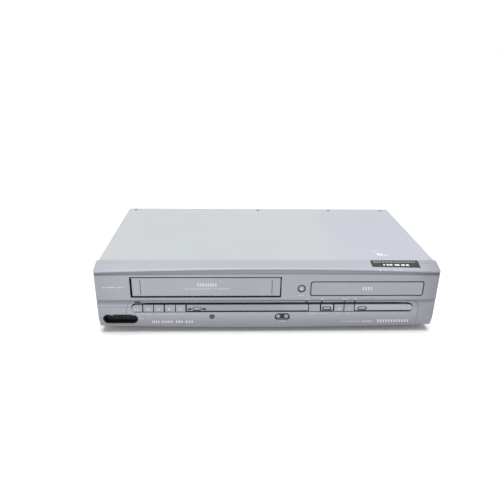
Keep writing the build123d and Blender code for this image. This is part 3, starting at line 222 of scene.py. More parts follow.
def makeBoxMask():  # 1 inside a box given by its middle and half sizes, by the largest of three distances
    tree, entry, leave = newGroup(
        "boxMask", {"point": (0.0, 0.0, 0.0), "centre": (0.0, 0.0, 0.0), "half": (0.001, 0.001, 0.001)},
        ("mask",))
    fade = 0.9  # share of the half size at which the mask begins to fade
    away = vectorCalc(tree, "SUBTRACT", entry["point"], entry["centre"])
    shares = vectorCalc(tree, "DIVIDE", vectorCalc(tree, "ABSOLUTE", away), entry["half"])
    one = put(tree, "ShaderNodeSeparateXYZ", {0: shares}).outputs
    most = calc(tree, "MAXIMUM", one[0], calc(tree, "MAXIMUM", one[1], one[2]))
    tree.links.new(span(tree, most, fade, 1.0, 1.0, 0.0), leave["mask"])
    return tree


def makeDrift():  # a smooth climb from 0 to 1 between two places along one axis, picked by a 0 and 1 vector
    tree, entry, leave = newGroup(
        "drift", {"point": (0.0, 0.0, 0.0), "axis": (1.0, 0.0, 0.0), "start": 0.1, "end": 0.2}, ("mask",))
    along = vectorCalc(tree, "DOT_PRODUCT", entry["point"], entry["axis"])
    inputs = {"Value": along, "From Min": entry["start"], "From Max": entry["end"]}
    climb = put(tree, "ShaderNodeMapRange", inputs, interpolation_type="SMOOTHSTEP")
    tree.links.new(climb.outputs[0], leave["mask"])
    return tree


fineGrain, cloudTone, scuffPatch = makeFineGrain(), makeCloudTone(), makeScuffPatch()
creviceShade, boxMask, drift = makeCreviceShade(), makeBoxMask(), makeDrift()
edgeRub, drawnLines = makeEdgeRub(), makeDrawnLines()
settledDust, turnedRings = makeSettledDust(), makeTurnedRings()
print("effects made")


def newMaterial(name):
    made = bpy.data.materials.new(name)
    made.use_nodes = True
    tree = made.node_tree
    tree.nodes.clear()
    out = tree.nodes.new("ShaderNodeOutputMaterial")
    shader = tree.nodes.new("ShaderNodeBsdfPrincipled")
    tree.links.new(shader.outputs[0], out.inputs[0])
    point = put(tree, "ShaderNodeTexCoord").outputs["Object"]
    return made, tree, shader, point


def setShader(tree, shader, **inputs):
    for label, value in inputs.items():
        feed(tree, shader.inputs[label.replace("_", " ")], value)


def bumped(tree, height, distance):
    inputs = {"Height": height, "Distance": distance, "Strength": 1.0}
    return put(tree, "ShaderNodeBump", inputs).outputs[0]


def grainRough(tree, height, smooth, dull):  # roughness that follows the grain's height
    lowGrain, highGrain = 0.6, 1.4
    return span(tree, height, lowGrain, highGrain, smooth, dull)


dustColour = linear(150, 146, 138)


def silverPaint(name, values):
    # silver paint on a moulding: flake, cloud, rubbed edges, placed scuffs, tints and painted light that
    # drift along it, painted shade on faces that look down, in its crevices and inside its openings
    made, tree, shader, point = newMaterial(name)
    grain = useGroup(tree, fineGrain, point=point, scale=values["grainScale"],
                     contrast=values["grainContrast"])
    cloud = useGroup(tree, cloudTone, point=point, scale=values["cloudScale"],
                     contrast=values["cloudContrast"])
    tone = put(tree, "ShaderNodeRGB").outputs[0]
    tone.default_value = linear(*values["colour"])
    # tints, painted shade and painted light, laid along the piece by place
    for slide in values.get("tintsAndPaintedLight", ()):
        reach = useGroup(tree, drift, point=point, axis=slide.get("axis", (1, 0, 0)), start=slide["start"],
                         end=slide["end"])["mask"]
        back = slide.get("back")  # where the tone comes back again
        if back:
            away = useGroup(tree, drift, point=point, axis=slide["axis"], start=back[0], end=back[1])["mask"]
            reach = calc(tree, "MULTIPLY", reach, away)
        tone = blendColours(tree, reach, tone, linear(*slide["colour"]))
    level, steep = -0.10, -0.65  # downward looks at which the painted shade on faces that look down begins and is darkest
    under = span(tree, upward(tree), level, steep, 1.0, values["under"])
    colour = shaded(tree, tone, grain["shade"], cloud["shade"], under)
    rub = useGroup(tree, edgeRub, point=point, radius=values["rubRadius"], breakup=values["rubBreakup"])
    rubbed = calc(tree, "MULTIPLY", rub["mask"], values["rubAmount"])
    colour = blendColours(tree, rubbed, colour, linear(*values["rubColour"]))
    rough = grainRough(tree, grain["height"], values["rough"] - 0.05, values["rough"] + 0.05)
    for scuff in values.get("scuffs", ()):
        patch = useGroup(tree, scuffPatch, point=point, centre=scuff["centre"], reach=scuff["reach"],
                         grain=scuff["grain"], amount=scuff["amount"])
        colour = blendColours(tree, patch["mask"], colour, linear(*scuff["colour"]))
        rough = calc(tree, "ADD", rough, calc(tree, "MULTIPLY", patch["mask"], 0.25), clamp=True)
    for left, right, bottom, top, front in values.get("insideShade", ()):  # mm; the painted shade starts at the front
        centre = ((left + right) / 2 * mm, (front + values["insideShadeBack"]) / 2 * mm, (bottom + top) / 2 * mm)
        half = ((right - left) / 2 * mm, (values["insideShadeBack"] - front) / 2 * mm, (top - bottom) / 2 * mm)
        inside = useGroup(tree, boxMask, point=point, centre=centre, half=half)
        colour = blendColours(tree, inside["mask"], colour, linear(*values["paintedShadeColour"]))
    # painted shade in crevices: the colour goes dark where little is open round a point
    gap = useGroup(tree, creviceShade, reach=values["gapReach"], shut=values["gapShut"],
                   clear=values["gapClear"])
    colour = blendColours(tree, gap["open"], linear(*values["paintedShadeColour"]), colour)
    setShader(tree, shader, Base_Color=colour, Roughness=rough, Metallic=values["metallic"],
              Coat_Weight=values["coat"], Coat_Roughness=0.25,
              Normal=bumped(tree, grain["height"], values["grainDepth"]))
    return made


def plainPlastic(name, values):  # unpainted moulding: fine spark texture, faint cloud, dust, placed patches
    made, tree, shader, point = newMaterial(name)
    grain = useGroup(tree, fineGrain, point=point, scale=values["grainScale"], contrast=0.12)
    cloud = useGroup(tree, cloudTone, point=point, scale=25.0, contrast=0.08)
    colour = shaded(tree, linear(*values["colour"]), grain["shade"], cloud["shade"])
    dust = useGroup(tree, settledDust, point=point, scale=90.0, amount=values["dust"])
    colour = blendColours(tree, dust["mask"], colour, dustColour)
    rub = useGroup(tree, edgeRub, point=point, radius=0.0003, breakup=900.0)
    colour = blendColours(tree, calc(tree, "MULTIPLY", rub["mask"], 0.25), colour, linear(*values["edge"]))
    # the jack well's painted highlights are such patches
    for patch in values.get("patches", ()):
        inside = useGroup(tree, boxMask, point=point, centre=patch["centre"], half=patch["half"])
        colour = blendColours(tree, inside["mask"], colour, linear(*patch["colour"]))
    rough = grainRough(tree, grain["height"], values["rough"] - 0.07, values["rough"] + 0.07)
    setShader(tree, shader, Base_Color=colour, Roughness=rough,
              Normal=bumped(tree, grain["height"], values["grainDepth"]))
    return made


def sheetMetal(name, values):  # plated or rolled sheet: spangle cells, rolling lines, dulled patches, painted shade in its hollows when given a reach
    made, tree, shader, point = newMaterial(name)
    cells = put(tree, "ShaderNodeTexVoronoi", {"Vector": point, "Scale": values["spangleScale"]})
    picked = put(tree, "ShaderNodeSeparateColor", {0: cells.outputs["Color"]}).outputs[0]
    spangle = span(tree, picked, 0.0, 1.0, 1.0 - values["spangle"], 1.0 + values["spangle"])
    lines = useGroup(tree, drawnLines, point=point, stretch=values["stretch"], contrast=0.08)
    cloud = useGroup(tree, cloudTone, point=point, scale=14.0, contrast=0.08)
    colour = shaded(tree, linear(*values["colour"]), spangle, lines["shade"], cloud["shade"])
    dust = useGroup(tree, settledDust, point=point, scale=50.0, amount=values["dust"])
    colour = blendColours(tree, dust["mask"], colour, dustColour)
    rough = span(tree, cloud["shade"], 0.8, 1.2, values["rough"] - 0.08, values["rough"] + 0.08)
    rough = calc(tree, "ADD", rough, calc(tree, "MULTIPLY", dust["mask"], 0.5), clamp=True)
    if values.get("gapReach"):  # sheet inside the case, darkened where little light comes: painted shade
        gap = useGroup(tree, creviceShade, reach=values["gapReach"], shut=0.25, clear=0.8)
        colour = blendColours(tree, gap["open"], linear(10, 10, 11), colour)
    setShader(tree, shader, Base_Color=colour, Roughness=rough, Metallic=values["metallic"],
              Normal=bumped(tree, lines["height"], 0.00002))
    return made


def turnedMetal(name, values):  # lathe-turned or ground metal: rings about the piece's own axis
    made, tree, shader, point = newMaterial(name)
    rings = useGroup(tree, turnedRings, point=point, centre=values["centre"], pitch=values["pitch"],
                     contrast=0.1)
    cloud = useGroup(tree, cloudTone, point=point, scale=60.0, contrast=0.05)
    colour = shaded(tree, linear(*values["colour"]), rings["shade"], cloud["shade"])
    rough = span(tree, rings["height"], 0.3, 0.7, values["rough"] - 0.05, values["rough"] + 0.07)
    setShader(tree, shader, Base_Color=colour, Roughness=rough, Metallic=1.0,
              Normal=bumped(tree, rings["height"], 0.00001))
    return made


def boardLaminate(name, values):  # paper laminate: brown fibre, darker lines of track under the varnish
    made, tree, shader, point = newMaterial(name)
    fibre = useGroup(tree, drawnLines, point=point, stretch=(400.0, 60.0, 400.0), contrast=0.18)
    cloud = useGroup(tree, cloudTone, point=point, scale=30.0, contrast=0.12)
    colour = shaded(tree, linear(*values["colour"]), fibre["shade"], cloud["shade"])
    inputs = {"Vector": point, "Scale": 90.0, "Mortar Size": 0.06}
    tracks = put(tree, "ShaderNodeTexBrick", inputs).outputs["Fac"]
    varnish = 0.5  # share of a track's own colour that shows through
    colour = blendColours(tree, calc(tree, "MULTIPLY", tracks, varnish), colour, linear(*values["track"]))
    setShader(tree, shader, Base_Color=colour, Roughness=values["rough"], Coat_Weight=0.3,
              Normal=bumped(tree, tracks, 0.00003))
    return made


def smokedPlastic(name, values):  # smoked window: dark body under gloss, some with a paler middle
    made, tree, shader, point = newMaterial(name)
    colour = linear(*values["colour"])
    if "glow" in values:  # radius of the paler middle
        away = vectorCalc(tree, "SUBTRACT", point, values["centre"])
        flat = vectorCalc(tree, "MULTIPLY", away, (1.0, 0.0, 1.0))
        middle = span(tree, vectorCalc(tree, "LENGTH", flat), 0.0, values["glow"], 1.0, 0.0)
        colour = blendColours(tree, middle, colour, linear(*values["middle"]))
    grain = useGroup(tree, fineGrain, point=point, scale=1800.0, contrast=0.15)
    colour = shaded(tree, colour, grain["shade"])
    rough = grainRough(tree, grain["height"], values["rough"], values["rough"] + 0.06)
    setShader(tree, shader, Base_Color=colour, Roughness=rough, Coat_Weight=values["coat"],
              Coat_Roughness=0.05, Normal=bumped(tree, grain["height"], 0.000004))
    return made


def printedInk(name, values):  # screen-printed ink: speckled, a little worn through
    made, tree, shader, point = newMaterial(name)
    grain = useGroup(tree, fineGrain, point=point, scale=4000.0, contrast=0.1)
    whole, worn = 0.52, 0.75  # noise where the ink is whole and where it is worn most
    thin = span(tree, noiseOf(tree, point, 700.0, 4.0), whole, worn, 0.0, values["wear"])
    colour = blendColours(tree, thin, linear(*values["colour"]), linear(*values["under"]))
    colour = shaded(tree, colour, grain["shade"])
    setShader(tree, shader, Base_Color=colour, Roughness=values["rough"],
              Normal=bumped(tree, grain["height"], 0.000003))
    return made


def middleOf(node):  # the middle of a node's box at rest
    low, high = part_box(node)
    return tuple((low + high) / 2)


frontPaintedShade = (  # painted shade: the paint darker towards both ends, along the trough and towards the bottom
    {"start": 0.170, "end": 0.235, "colour": (152, 155, 164)},
    {"start": -0.180, "end": -0.226, "colour": (176, 179, 187)},
    {"axis": (0, 0, 1), "start": 0.0475, "end": 0.0435, "back": (0.0345, 0.0385), "colour": (164, 167, 175)},
    {"axis": (0, 0, 1), "start": 0.030, "end": 0.016, "colour": (172, 175, 184)},
)
silver = {
    "colour": (186, 189, 198), "grainScale": 2600.0, "grainContrast": 0.10, "grainDepth": 0.000010,
    "cloudScale": 7.0, "cloudContrast": 0.03, "rough": 0.42, "metallic": 0.1, "coat": 0.05, "under": 0.7,
    "rubRadius": 0.0007, "rubBreakup": 260.0, "rubAmount": 0.35, "rubColour": (226, 227, 229),
    "paintedShadeColour": (9, 10, 13), "gapReach": 0.005, "gapShut": 0.2, "gapClear": 0.44,
    "tintsAndPaintedLight": frontPaintedShade, "insideShadeBack": -98.0,
    "scuffs": (
        {"centre": (0.1405, -0.1172, 0.0892), "reach": (0.0035, 0.005, 0.003), "grain": (700.0, 420.0, 420.0),
         "amount": 0.40, "colour": (250, 250, 252)},
        {"centre": (0.1475, -0.1172, 0.0892), "reach": (0.0022, 0.004, 0.003), "grain": (700.0, 420.0, 420.0),
         "amount": 0.42, "colour": (250, 250, 252)},
        {"centre": (0.163, -0.1176, 0.0888), "reach": (0.020, 0.0035, 0.0012), "grain": (60.0, 900.0, 1500.0),
         "amount": 0.36, "colour": (244, 245, 247)},
        {"centre": (-0.150, -0.112, 0.091), "reach": (0.030, 0.010, 0.004), "grain": (120.0, 700.0, 700.0),
         "amount": 0.22, "colour": (232, 234, 238)},
    ),
}
insideShadeBoxes = {  # left, right, bottom, top and front of each opening's painted shade, in mm
    "slot": (-176.4, 17.1, 49.6, 79.8, -116.0), "mouth": (53.2, 201.2, 51.8, 73.5, -116.2),
    "keyRing": (36.8, 48.0, 57.2, 68.4, -116.1), "pocket": (-172.0, 185.0, 29.6, 42.0, -115.4),
    "pocketNotch": (-171.6, -164.0, 41.0, 44.0, -115.6), "channelRecess": (9.2, 28.6, 18.2, 27.4, -117.4),
    "door": (-175.0, 17.0, 50.0, 80.0, -115.7), "tray": (54.0, 200.4, 53.0, 72.2, -116.6),
}
# the walls round the lamp slots and inside the pill wells get painted shade
lampSlots = {"places": (50.2, 70.4, 99.7, 113.5), "half": 1.1, "low": 41.4, "high": 45.2, "front": -114.6}
pillWells = {"places": ((-91.8, 11.6), (76.5, 12.2), (122.9, 12.3)),  # middle and width of each pill's well
             "rim": 0.2, "low": 32.2, "high": 37.8, "front": -118.2}
lampShadeBoxes = [(x - lampSlots["half"], x + lampSlots["half"], lampSlots["low"], lampSlots["high"],
              lampSlots["front"]) for x in lampSlots["places"]]
wellShadeBoxes = [(x - wide / 2 - pillWells["rim"], x + wide / 2 + pillWells["rim"], pillWells["low"],
              pillWells["high"], pillWells["front"]) for x, wide in pillWells["places"]]
bezelSilver = dict(silver, insideShade=[insideShadeBoxes[name] for name in ("slot", "mouth", "keyRing")])
panelSilver = dict(silver, insideShade=[
    *[insideShadeBoxes[name] for name in ("pocket", "pocketNotch", "channelRecess")], *lampShadeBoxes])
coverScuffs = (
    {"centre": (0.1505, -0.078, 0.094), "reach": (0.011, 0.0092, 0.004), "grain": (470.0, 420.0, 230.0),
     "amount": 0.46, "colour": (252, 252, 253)},
    {"centre": (0.1575, -0.0815, 0.094), "reach": (0.0045, 0.0045, 0.004), "grain": (500.0, 500.0, 230.0),
     "amount": 0.46, "colour": (250, 250, 252)},
    {"centre": (0.1475, -0.066, 0.094), "reach": (0.0105, 0.0050, 0.004), "grain": (260.0, 700.0, 400.0),
     "amount": 0.36, "colour": (240, 241, 243)},
    {"centre": (0.196, 0.104, 0.094), "reach": (0.012, 0.008, 0.004), "grain": (260.0, 420.0, 400.0),
     "amount": 0.34, "colour": (178, 180, 182)},
)
coverCoat = dict(silver, colour=(205, 210, 214), grainScale=1500.0, grainContrast=0.05, grainDepth=0.000016,
                 rough=0.5, metallic=0.06, coat=0.0, rubRadius=0.0005, rubAmount=0.3, scuffs=coverScuffs,
                 tintsAndPaintedLight=({"start": 0.070, "end": 0.125, "colour": (202, 205, 215)},))
edgeGapShade = {"gapReach": 0.004, "gapShut": 0.42, "gapClear": 0.78}  # stronger painted shade round a flap or a key in its gap
doorSilver = dict(silver, colour=(186, 189, 198), cloudScale=18.0, cloudContrast=0.05, rough=0.38, tintsAndPaintedLight=(),
                  scuffs=(), insideShade=[insideShadeBoxes["door"]], **edgeGapShade)
traySilver = dict(doorSilver, colour=(185, 189, 197), insideShade=[insideShadeBoxes["tray"]],
                  tintsAndPaintedLight=({"start": 0.080, "end": 0.210, "colour": (185, 191, 197)},))
keySilver = dict(silver, colour=(180, 183, 190), grainScale=3200.0, rough=0.36, rubAmount=0.5, scuffs=(),
                 tintsAndPaintedLight=(), insideShade=[], **edgeGapShade)
# the key strip painted lighter towards the right: painted light
stripSilver = dict(keySilver, colour=(170, 173, 180), insideShade=wellShadeBoxes,
                   tintsAndPaintedLight=({"start": -0.02, "end": 0.12, "colour": (194, 199, 206)},))
wellHighlights = {"places": (-201.5, -174.0), "y": -0.1168, "z": 0.0262, "half": (0.0022, 0.0012, 0.0014),
            "colour": (150, 147, 138)}  # painted highlights, pale spots on the jack well's rim: places in mm, the rest in metres
paintedHighlightPatches = [{"centre": (x * mm, wellHighlights["y"], wellHighlights["z"]), "half": wellHighlights["half"],
               "colour": wellHighlights["colour"]} for x in wellHighlights["places"]]
finishes = {
    "bezelSilver": (silverPaint, bezelSilver, ("front_bezel",)),
    "panelSilver": (silverPaint, panelSilver, ("control_panel",)),
    "coverCoat": (silverPaint, coverCoat, ("top_cover",)),
    "doorSilver": (silverPaint, doorSilver, ("cassette_door",)),
    "traySilver": (silverPaint, traySilver, ("tray_front",)),
    "stripSilver": (silverPaint, stripSilver, ("key_strip",)),
    "keySilver": (silverPaint, keySilver, (
        "stop_eject_key", "rewind_key", "forward_key", "play_key", "record_key", "disc_power_key",
        "disc_stop_key", "disc_play_key", "source_key", "disc_select_key", "dubbing_key", "channel_down_key",
        "channel_up_key", "open_close_key")),
    "lampWindow": (smokedPlastic, {"colour": (20, 18, 20), "rough": 0.3, "coat": 0.1}, ("lamp_windows",)),
    "sensorWindow": (smokedPlastic, {"colour": (22, 20, 24), "middle": (74, 72, 78), "glow": 0.0022,
                                     "centre": middleOf("sensor_window"), "rough": 0.15, "coat": 0.6},
                     ("sensor_window",)),
    "wellBlack": (plainPlastic, {"colour": (9, 9, 10), "edge": (30, 30, 32), "grainScale": 1900.0,
                                 "rough": 0.6, "grainDepth": 0.00001, "dust": 0.0, "patches": paintedHighlightPatches},
                  ("jack_well",)),
    "jackDark": (plainPlastic, {"colour": (15, 15, 15), "edge": (46, 45, 42), "grainScale": 1900.0,
                                "rough": 0.5, "grainDepth": 0.00001, "dust": 0.0}, ("front_jacks",)),
    "jackNickel": (sheetMetal, {"colour": (196, 194, 188), "spangle": 0.02, "spangleScale": 700.0,
                                "rough": 0.22, "metallic": 1.0, "dust": 0.0,
                                "stretch": (300.0, 900.0, 900.0)},
                   ("jack_shells",)),
    "blockBlack": (plainPlastic, {"colour": (34, 34, 36), "edge": (70, 70, 72), "grainScale": 1500.0,
                                  "rough": 0.45, "grainDepth": 0.000012, "dust": 0.2},
                   ("jack_block", "key_switches", "board_parts")),
    "zincSheet": (sheetMetal, {"colour": (186, 188, 190), "spangle": 0.045, "spangleScale": 130.0,
                               "rough": 0.38, "metallic": 0.9, "stretch": (14.0, 700.0, 700.0), "dust": 0.15},
                  ("base_plate", "rear_panel", "aerial_block", "clamp_bridge")),
    # the zinc sheet made darker for the deck and holder inside the case: painted shade
    "shadedInnerSheet": (sheetMetal, {"colour": (150, 152, 154), "spangle": 0.05, "spangleScale": 110.0,
                                "rough": 0.4, "metallic": 0.7, "stretch": (14.0, 700.0, 700.0), "dust": 0.1,
                                "gapReach": 0.02},
                   ("deck_plate", "cassette_holder")),
    "footRubber": (plainPlastic, {"colour": (30, 30, 31), "edge": (60, 60, 60), "grainScale": 900.0,
                                  "rough": 0.8, "grainDepth": 0.00003, "dust": 0.1},
                   ("feet", "cord_gland", "pinch_roller")),
    "screwBlack": (sheetMetal, {"colour": (60, 60, 62), "spangle": 0.03, "spangleScale": 900.0,
                                "rough": 0.35, "metallic": 0.8, "dust": 0.05,
                                "stretch": (900.0, 900.0, 900.0)},
                   ("cover_screws",)),
    "boardBrown": (boardLaminate, {"colour": (150, 112, 66), "track": (104, 74, 40), "rough": 0.5},
                   ("key_board", "main_board", "power_board")),
    "loaderBlack": (plainPlastic, {"colour": (40, 40, 43), "edge": (80, 80, 84), "grainScale": 1600.0,
                                   "rough": 0.42, "grainDepth": 0.00001, "dust": 0.12},
                    ("loader_frame", "disc_tray", "traverse", "laser_sled", "clamp_disc")),
    "deckPlastic": (plainPlastic, {"colour": (226, 225, 220), "edge": (240, 240, 238), "grainScale": 1500.0,
                                   "rough": 0.4, "grainDepth": 0.000008, "dust": 0.1},
                    ("tray_gear", "loading_slider", "supply_reel", "take_up_reel")),
    "drumAlloy": (turnedMetal, {"colour": (205, 206, 208), "rough": 0.2, "pitch": 0.0005,
                                "centre": middleOf("upper_drum")}, ("lower_drum", "upper_drum")),
    "groundSteel": (turnedMetal, {"colour": (190, 190, 190), "rough": 0.22, "pitch": 0.0004,
                                  "centre": middleOf("capstan")},
                    ("capstan", "pinch_lever", "guide_rods", "supply_guide", "take_up_guide", "turntable")),
    "motorCan": (sheetMetal, {"colour": (176, 177, 176), "spangle": 0.02, "spangleScale": 300.0, "rough": 0.3,
                              "metallic": 1.0, "stretch": (60.0, 900.0, 900.0), "dust": 0.05},
                 ("loading_motors", "spindle_motor")),
}

finished = {}
for name, (maker, values, members) in finishes.items():
    finished[name] = maker(name, values)
    for member in members:
        nodes[member].data.materials.clear()
        nodes[member].data.materials.append(finished[name])
unpainted = sorted(set(nodes) - {member for entry in finishes.values() for member in entry[2]})
print("finishes made:", len(finished), "without one:", unpainted)


def patchGrid(patches, steps):
    # each patch has four corners A, B, C, D and its point at (u, v) is
    # (1-u)(1-v)A + u(1-v)B + uvC + (1-u)vD; on a round one the square of (a, b), each -1 to 1,
    # is first drawn to a disc, a times root(1 - bb/2) and b times root(1 - aa/2)
    corners = np.array([patch["corners"] for patch in patches], dtype=float)
    rounds = np.array([patch.get("round", False) for patch in patches])[:, None]
    a, b = (axis.ravel() * 2 - 1 for axis in np.meshgrid(*[np.linspace(0, 1, steps + 1)] * 2, indexing="ij"))
    u = np.where(rounds, a * np.sqrt(1 - b * b / 2), a) / 2 + 0.5
    v = np.where(rounds, b * np.sqrt(1 - a * a / 2), b) / 2 + 0.5
    shares = np.stack([(1 - u) * (1 - v), u * (1 - v), u * v, (1 - u) * v], axis=-1)
    points = np.einsum("nmk,nkd->nmd", shares, corners)
    first = (np.arange(steps)[:, None] * (steps + 1) + np.arange(steps)).ravel()
    quad = np.stack([first, first + steps + 1, first + steps + 2, first + 1], axis=-1)
    faces = (quad + np.arange(len(patches))[:, None, None] * points.shape[1]).reshape(-1, 4)
    return points.reshape(-1, 2), faces


def meshPiece(name, points, faces, material, body):
    mesh = bpy.data.meshes.new(name)
    mesh.from_pydata((points * mm).tolist(), [], faces.tolist())
    mesh.update()
    piece = bpy.data.objects.new(name, mesh)
    bpy.context.scene.collection.objects.link(piece)
    mesh.materials.append(material)
    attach(piece, body)
    return piece


def settle(piece):  # the piece's modifiers worked into its mesh
    bpy.context.view_layer.update()
    whole = piece.evaluated_get(bpy.context.evaluated_depsgraph_get())
    mesh = bpy.data.meshes.new_from_object(whole)
    piece.modifiers.clear()
    piece.data = mesh


def printed(name, patches, node, body, material, lift=0.02, thick=0.03, steps=4, over="Y"):
    # flat patches thrown onto a node along one axis and given a thickness: over Y from the front,
    # where they lie in x and z, or over Z from above, where they lie in x and y
    standOff = 140.0  # mm, outside the object, where the patches start
    flat, faces = patchGrid(patches, steps)
    fromFront = over == "Y"
    if fromFront:
        points = np.column_stack([flat[:, 0], np.full(len(flat), -standOff), flat[:, 1]])
    else:
        points = np.column_stack([flat, np.full(len(flat), standOff)])
    piece = meshPiece(name, points, faces, material, body)
    wrap = piece.modifiers.new("onto", "SHRINKWRAP")
    wrap.wrap_method, wrap.target, wrap.offset = "PROJECT", nodes[node], lift * mm
    wrap.use_project_y, wrap.use_project_z = fromFront, not fromFront
    wrap.use_positive_direction, wrap.use_negative_direction = fromFront, not fromFront
    wall = piece.modifiers.new("wall", "SOLIDIFY")
    wall.thickness, wall.offset = thick * mm, 1.0
    settle(piece)


def bar(left, right, low, high):
    return {"corners": [(left, low), (right, low), (right, high), (left, high)]}


def words(z, tall, *ends):  # plain bars where a line of words would be: ends are the left and right of each
    return [bar(left, right, z - tall / 2, z + tall / 2) for left, right in zip(ends[::2], ends[1::2])]


def blocks(left, right, low, high, count, gap):  # a row of plain blocks between two ends
    wide = (right - left - gap * (count - 1)) / count
    return [bar(left + n * (wide + gap), left + n * (wide + gap) + wide, low, high) for n in range(count)]


def sign(kind, x, z, half):  # a key's sign: square, dot, line, or a triangle that points right, left or up
    tip, thin = 0.05, 0.18  # half widths of a triangle's tip and of a line, as shares of the sign's half
    square = [(-1, -1), (1, -1), (1, 1), (-1, 1)]
    shapes = {
        "square": square, "dot": square, "line": [(-1, -thin), (1, -thin), (1, thin), (-1, thin)],
        "right": [(-1, -1), (1, -tip), (1, tip), (-1, 1)], "left": [(-1, -tip), (1, -1), (1, 1), (-1, tip)],
        "up": [(-1, -1), (1, -1), (tip, 1), (-tip, 1)],
    }
    return {"corners": [(x + half * a, z + half * b) for a, b in shapes[kind]], "round": kind == "dot"}


def comb(left, right, low, high, pitch=3.4):  # evenly spaced upright bars where a bold word would be
    gapShare = 0.45  # of the pitch
    count = max(2, round((right - left) / pitch))
    return blocks(left, right, low, high, count, pitch * gapShare)


inkValues = {
    "whiteInk": {"colour": (255, 255, 255), "under": (205, 208, 216), "wear": 0.25, "rough": 0.5},
    "paleInk": {"colour": (226, 229, 235), "under": (184, 187, 196), "wear": 0.5, "rough": 0.5},
    "greyInk": {"colour": (176, 177, 182), "under": (60, 60, 64), "wear": 0.6, "rough": 0.5},
    "vinylBlack": {"colour": (24, 24, 27), "under": (70, 71, 75), "wear": 0.4, "rough": 0.42},
}
inks = {name: printedInk(name, values) for name, values in inkValues.items()}

bezelBars = (words(65.0, 1.0, -209.9, -206.7, -204.8, -193.0, -191.2, -183.6)
             + words(53.2, 0.7, 39.0, 45.8)
             + words(47.6, 0.9, 48.2, 52.4, 68.4, 72.4, 95.6, 103.8, 111.2, 115.8))
labelBars = (words(27.3, 0.75, -169.1, -160.3, -157.6, -150.5, -144.8, -136.8, -133.5, -119.1, -116.5, -110.1,
                   -96.9, -88.3, 54.1, 64.6, 72.5, 78.2, 89.2, 94.1, 102.5, 107.7, 118.7, 123.2)
             + words(20.4, 0.9, -167.4, -160.6) + words(15.9, 0.8, 14.2, 23.6)
             + words(14.9, 1.1, 97.1, 103.0, 104.2, 121.7))
panelBars = (comb(-150.7, -141.2, 13.6, 17.2, 2.4) + comb(-138.1, -123.6, 13.8, 17.2, 2.4)
             + comb(-119.6, -110.9, 13.6, 17.3, 2.9) + comb(-107.1, -97.3, 13.6, 17.3, 3.2)
             + words(14.9, 1.3, 124.1, 138.8) + comb(145.1, 186.7, 13.2, 17.8))
doorBars = (comb(-90.5, -66.4, 65.8, 70.6, 3.0)
            + words(62.5, 0.8, -106.6, -101.6, -100.4, -84.0, -83.0, -72.5, -69.5, -67.5, -66.0, -50.2))
trayBars = comb(120.9, 133.6, 60.4, 65.6, 3.2)
frontPrints = (  # name, patches, node, body, slot and ink
    ("bezelPrint", bezelBars, "front_bezel", "casing", "silver_moulding", "whiteInk"),
    ("panelLabels", labelBars, "control_panel", "casing", "silver_moulding", "paleInk"),
    ("panelMarks", panelBars, "control_panel", "casing", "silver_moulding", "whiteInk"),
    ("doorPrint", doorBars, "cassette_door", "cassette_door", "door_silver", "whiteInk"),
    ("trayPrint", trayBars, "tray_front", "disc_tray", "door_silver", "whiteInk"),
)
for name, patches, node, body, slot, ink in frontPrints:
    printed(name, patches, node, body, inks[ink])

keySigns = {  # kind, x, z and half size of each sign, in mm
    "stop_eject_key": [("square", -170.6, 34.2, 0.8), ("up", -167.6, 34.5, 0.85),
                       ("line", -167.6, 33.0, 0.9)],
    "rewind_key": [("left", -155.4, 34.3, 0.9), ("left", -153.5, 34.3, 0.9)],
    "forward_key": [("right", -141.7, 34.3, 0.9), ("right", -139.8, 34.3, 0.9)],
    "play_key": [("right", -127.0, 34.3, 1.3)],
    "record_key": [("dot", -113.2, 34.3, 1.1)],
    "disc_stop_key": [("square", 93.0, 34.3, 1.1)],
    "disc_play_key": [("right", 106.6, 34.3, 1.2)],
    "open_close_key": [("up", 42.4, 63.3, 1.2), ("line", 42.4, 61.5, 1.2)],
}
for key, signs in keySigns.items():
    printed(key + "_sign", [sign(*values) for values in signs], key, key, inks["whiteInk"])

stickerValues = {  # mm; each run of four is left, right, near and far
    "edges": (132.0, 194.6, -112.0, -97.4),
    "upperRow": (136.0, 190.0, -102.6, -99.8), "upperCount": 15, "upperGap": 1.1,
    "lowerNear": -108.6, "lowerFar": -105.6,
    "lowerRow": ((147.0, 2.4), (151.5, 3.0), (155.2, 3.8), (162.0, 6.2), (170.5, 4.6), (176.6, 4.0)),
}
upperRow = blocks(*stickerValues["upperRow"], stickerValues["upperCount"], stickerValues["upperGap"])
lowerRow = [bar(x, x + wide, stickerValues["lowerNear"], stickerValues["lowerFar"])
            for x, wide in stickerValues["lowerRow"]]
stickerParts = (  # name, patches, ink, lift, thickness and grid steps
    ("sticker", [bar(*stickerValues["edges"])], "vinylBlack", 0.03, 0.08, 24),
    ("stickerUpperRow", upperRow, "greyInk", 0.13, 0.02, 4),
    ("stickerLowerRow", lowerRow, "whiteInk", 0.13, 0.02, 4),
)
for name, patches, ink, lift, thick, steps in stickerParts:
    printed(name, patches, "front_bezel", "casing", inks[ink], lift, thick, steps, "Z")

ringValues = {"inner": 4.35, "outer": 4.95, "proud": 0.35, "off": 0.01, "around": 40}  # mm, and a count
ringColours = {  # colour, and the x and z of each ring's middle in mm
    "yellow": ((232, 196, 44), ((60, 30), (60, 46))), "white": ((232, 232, 228), ((76, 30), (76, 46))),
    "red": ((196, 40, 36), ((92, 30), (92, 46), (146, 30))), "green": ((48, 140, 72), ((114, 30),)),
    "blue": ((44, 84, 170), ((130, 30),)), "orange": ((226, 120, 40), ((130, 46),)),
}


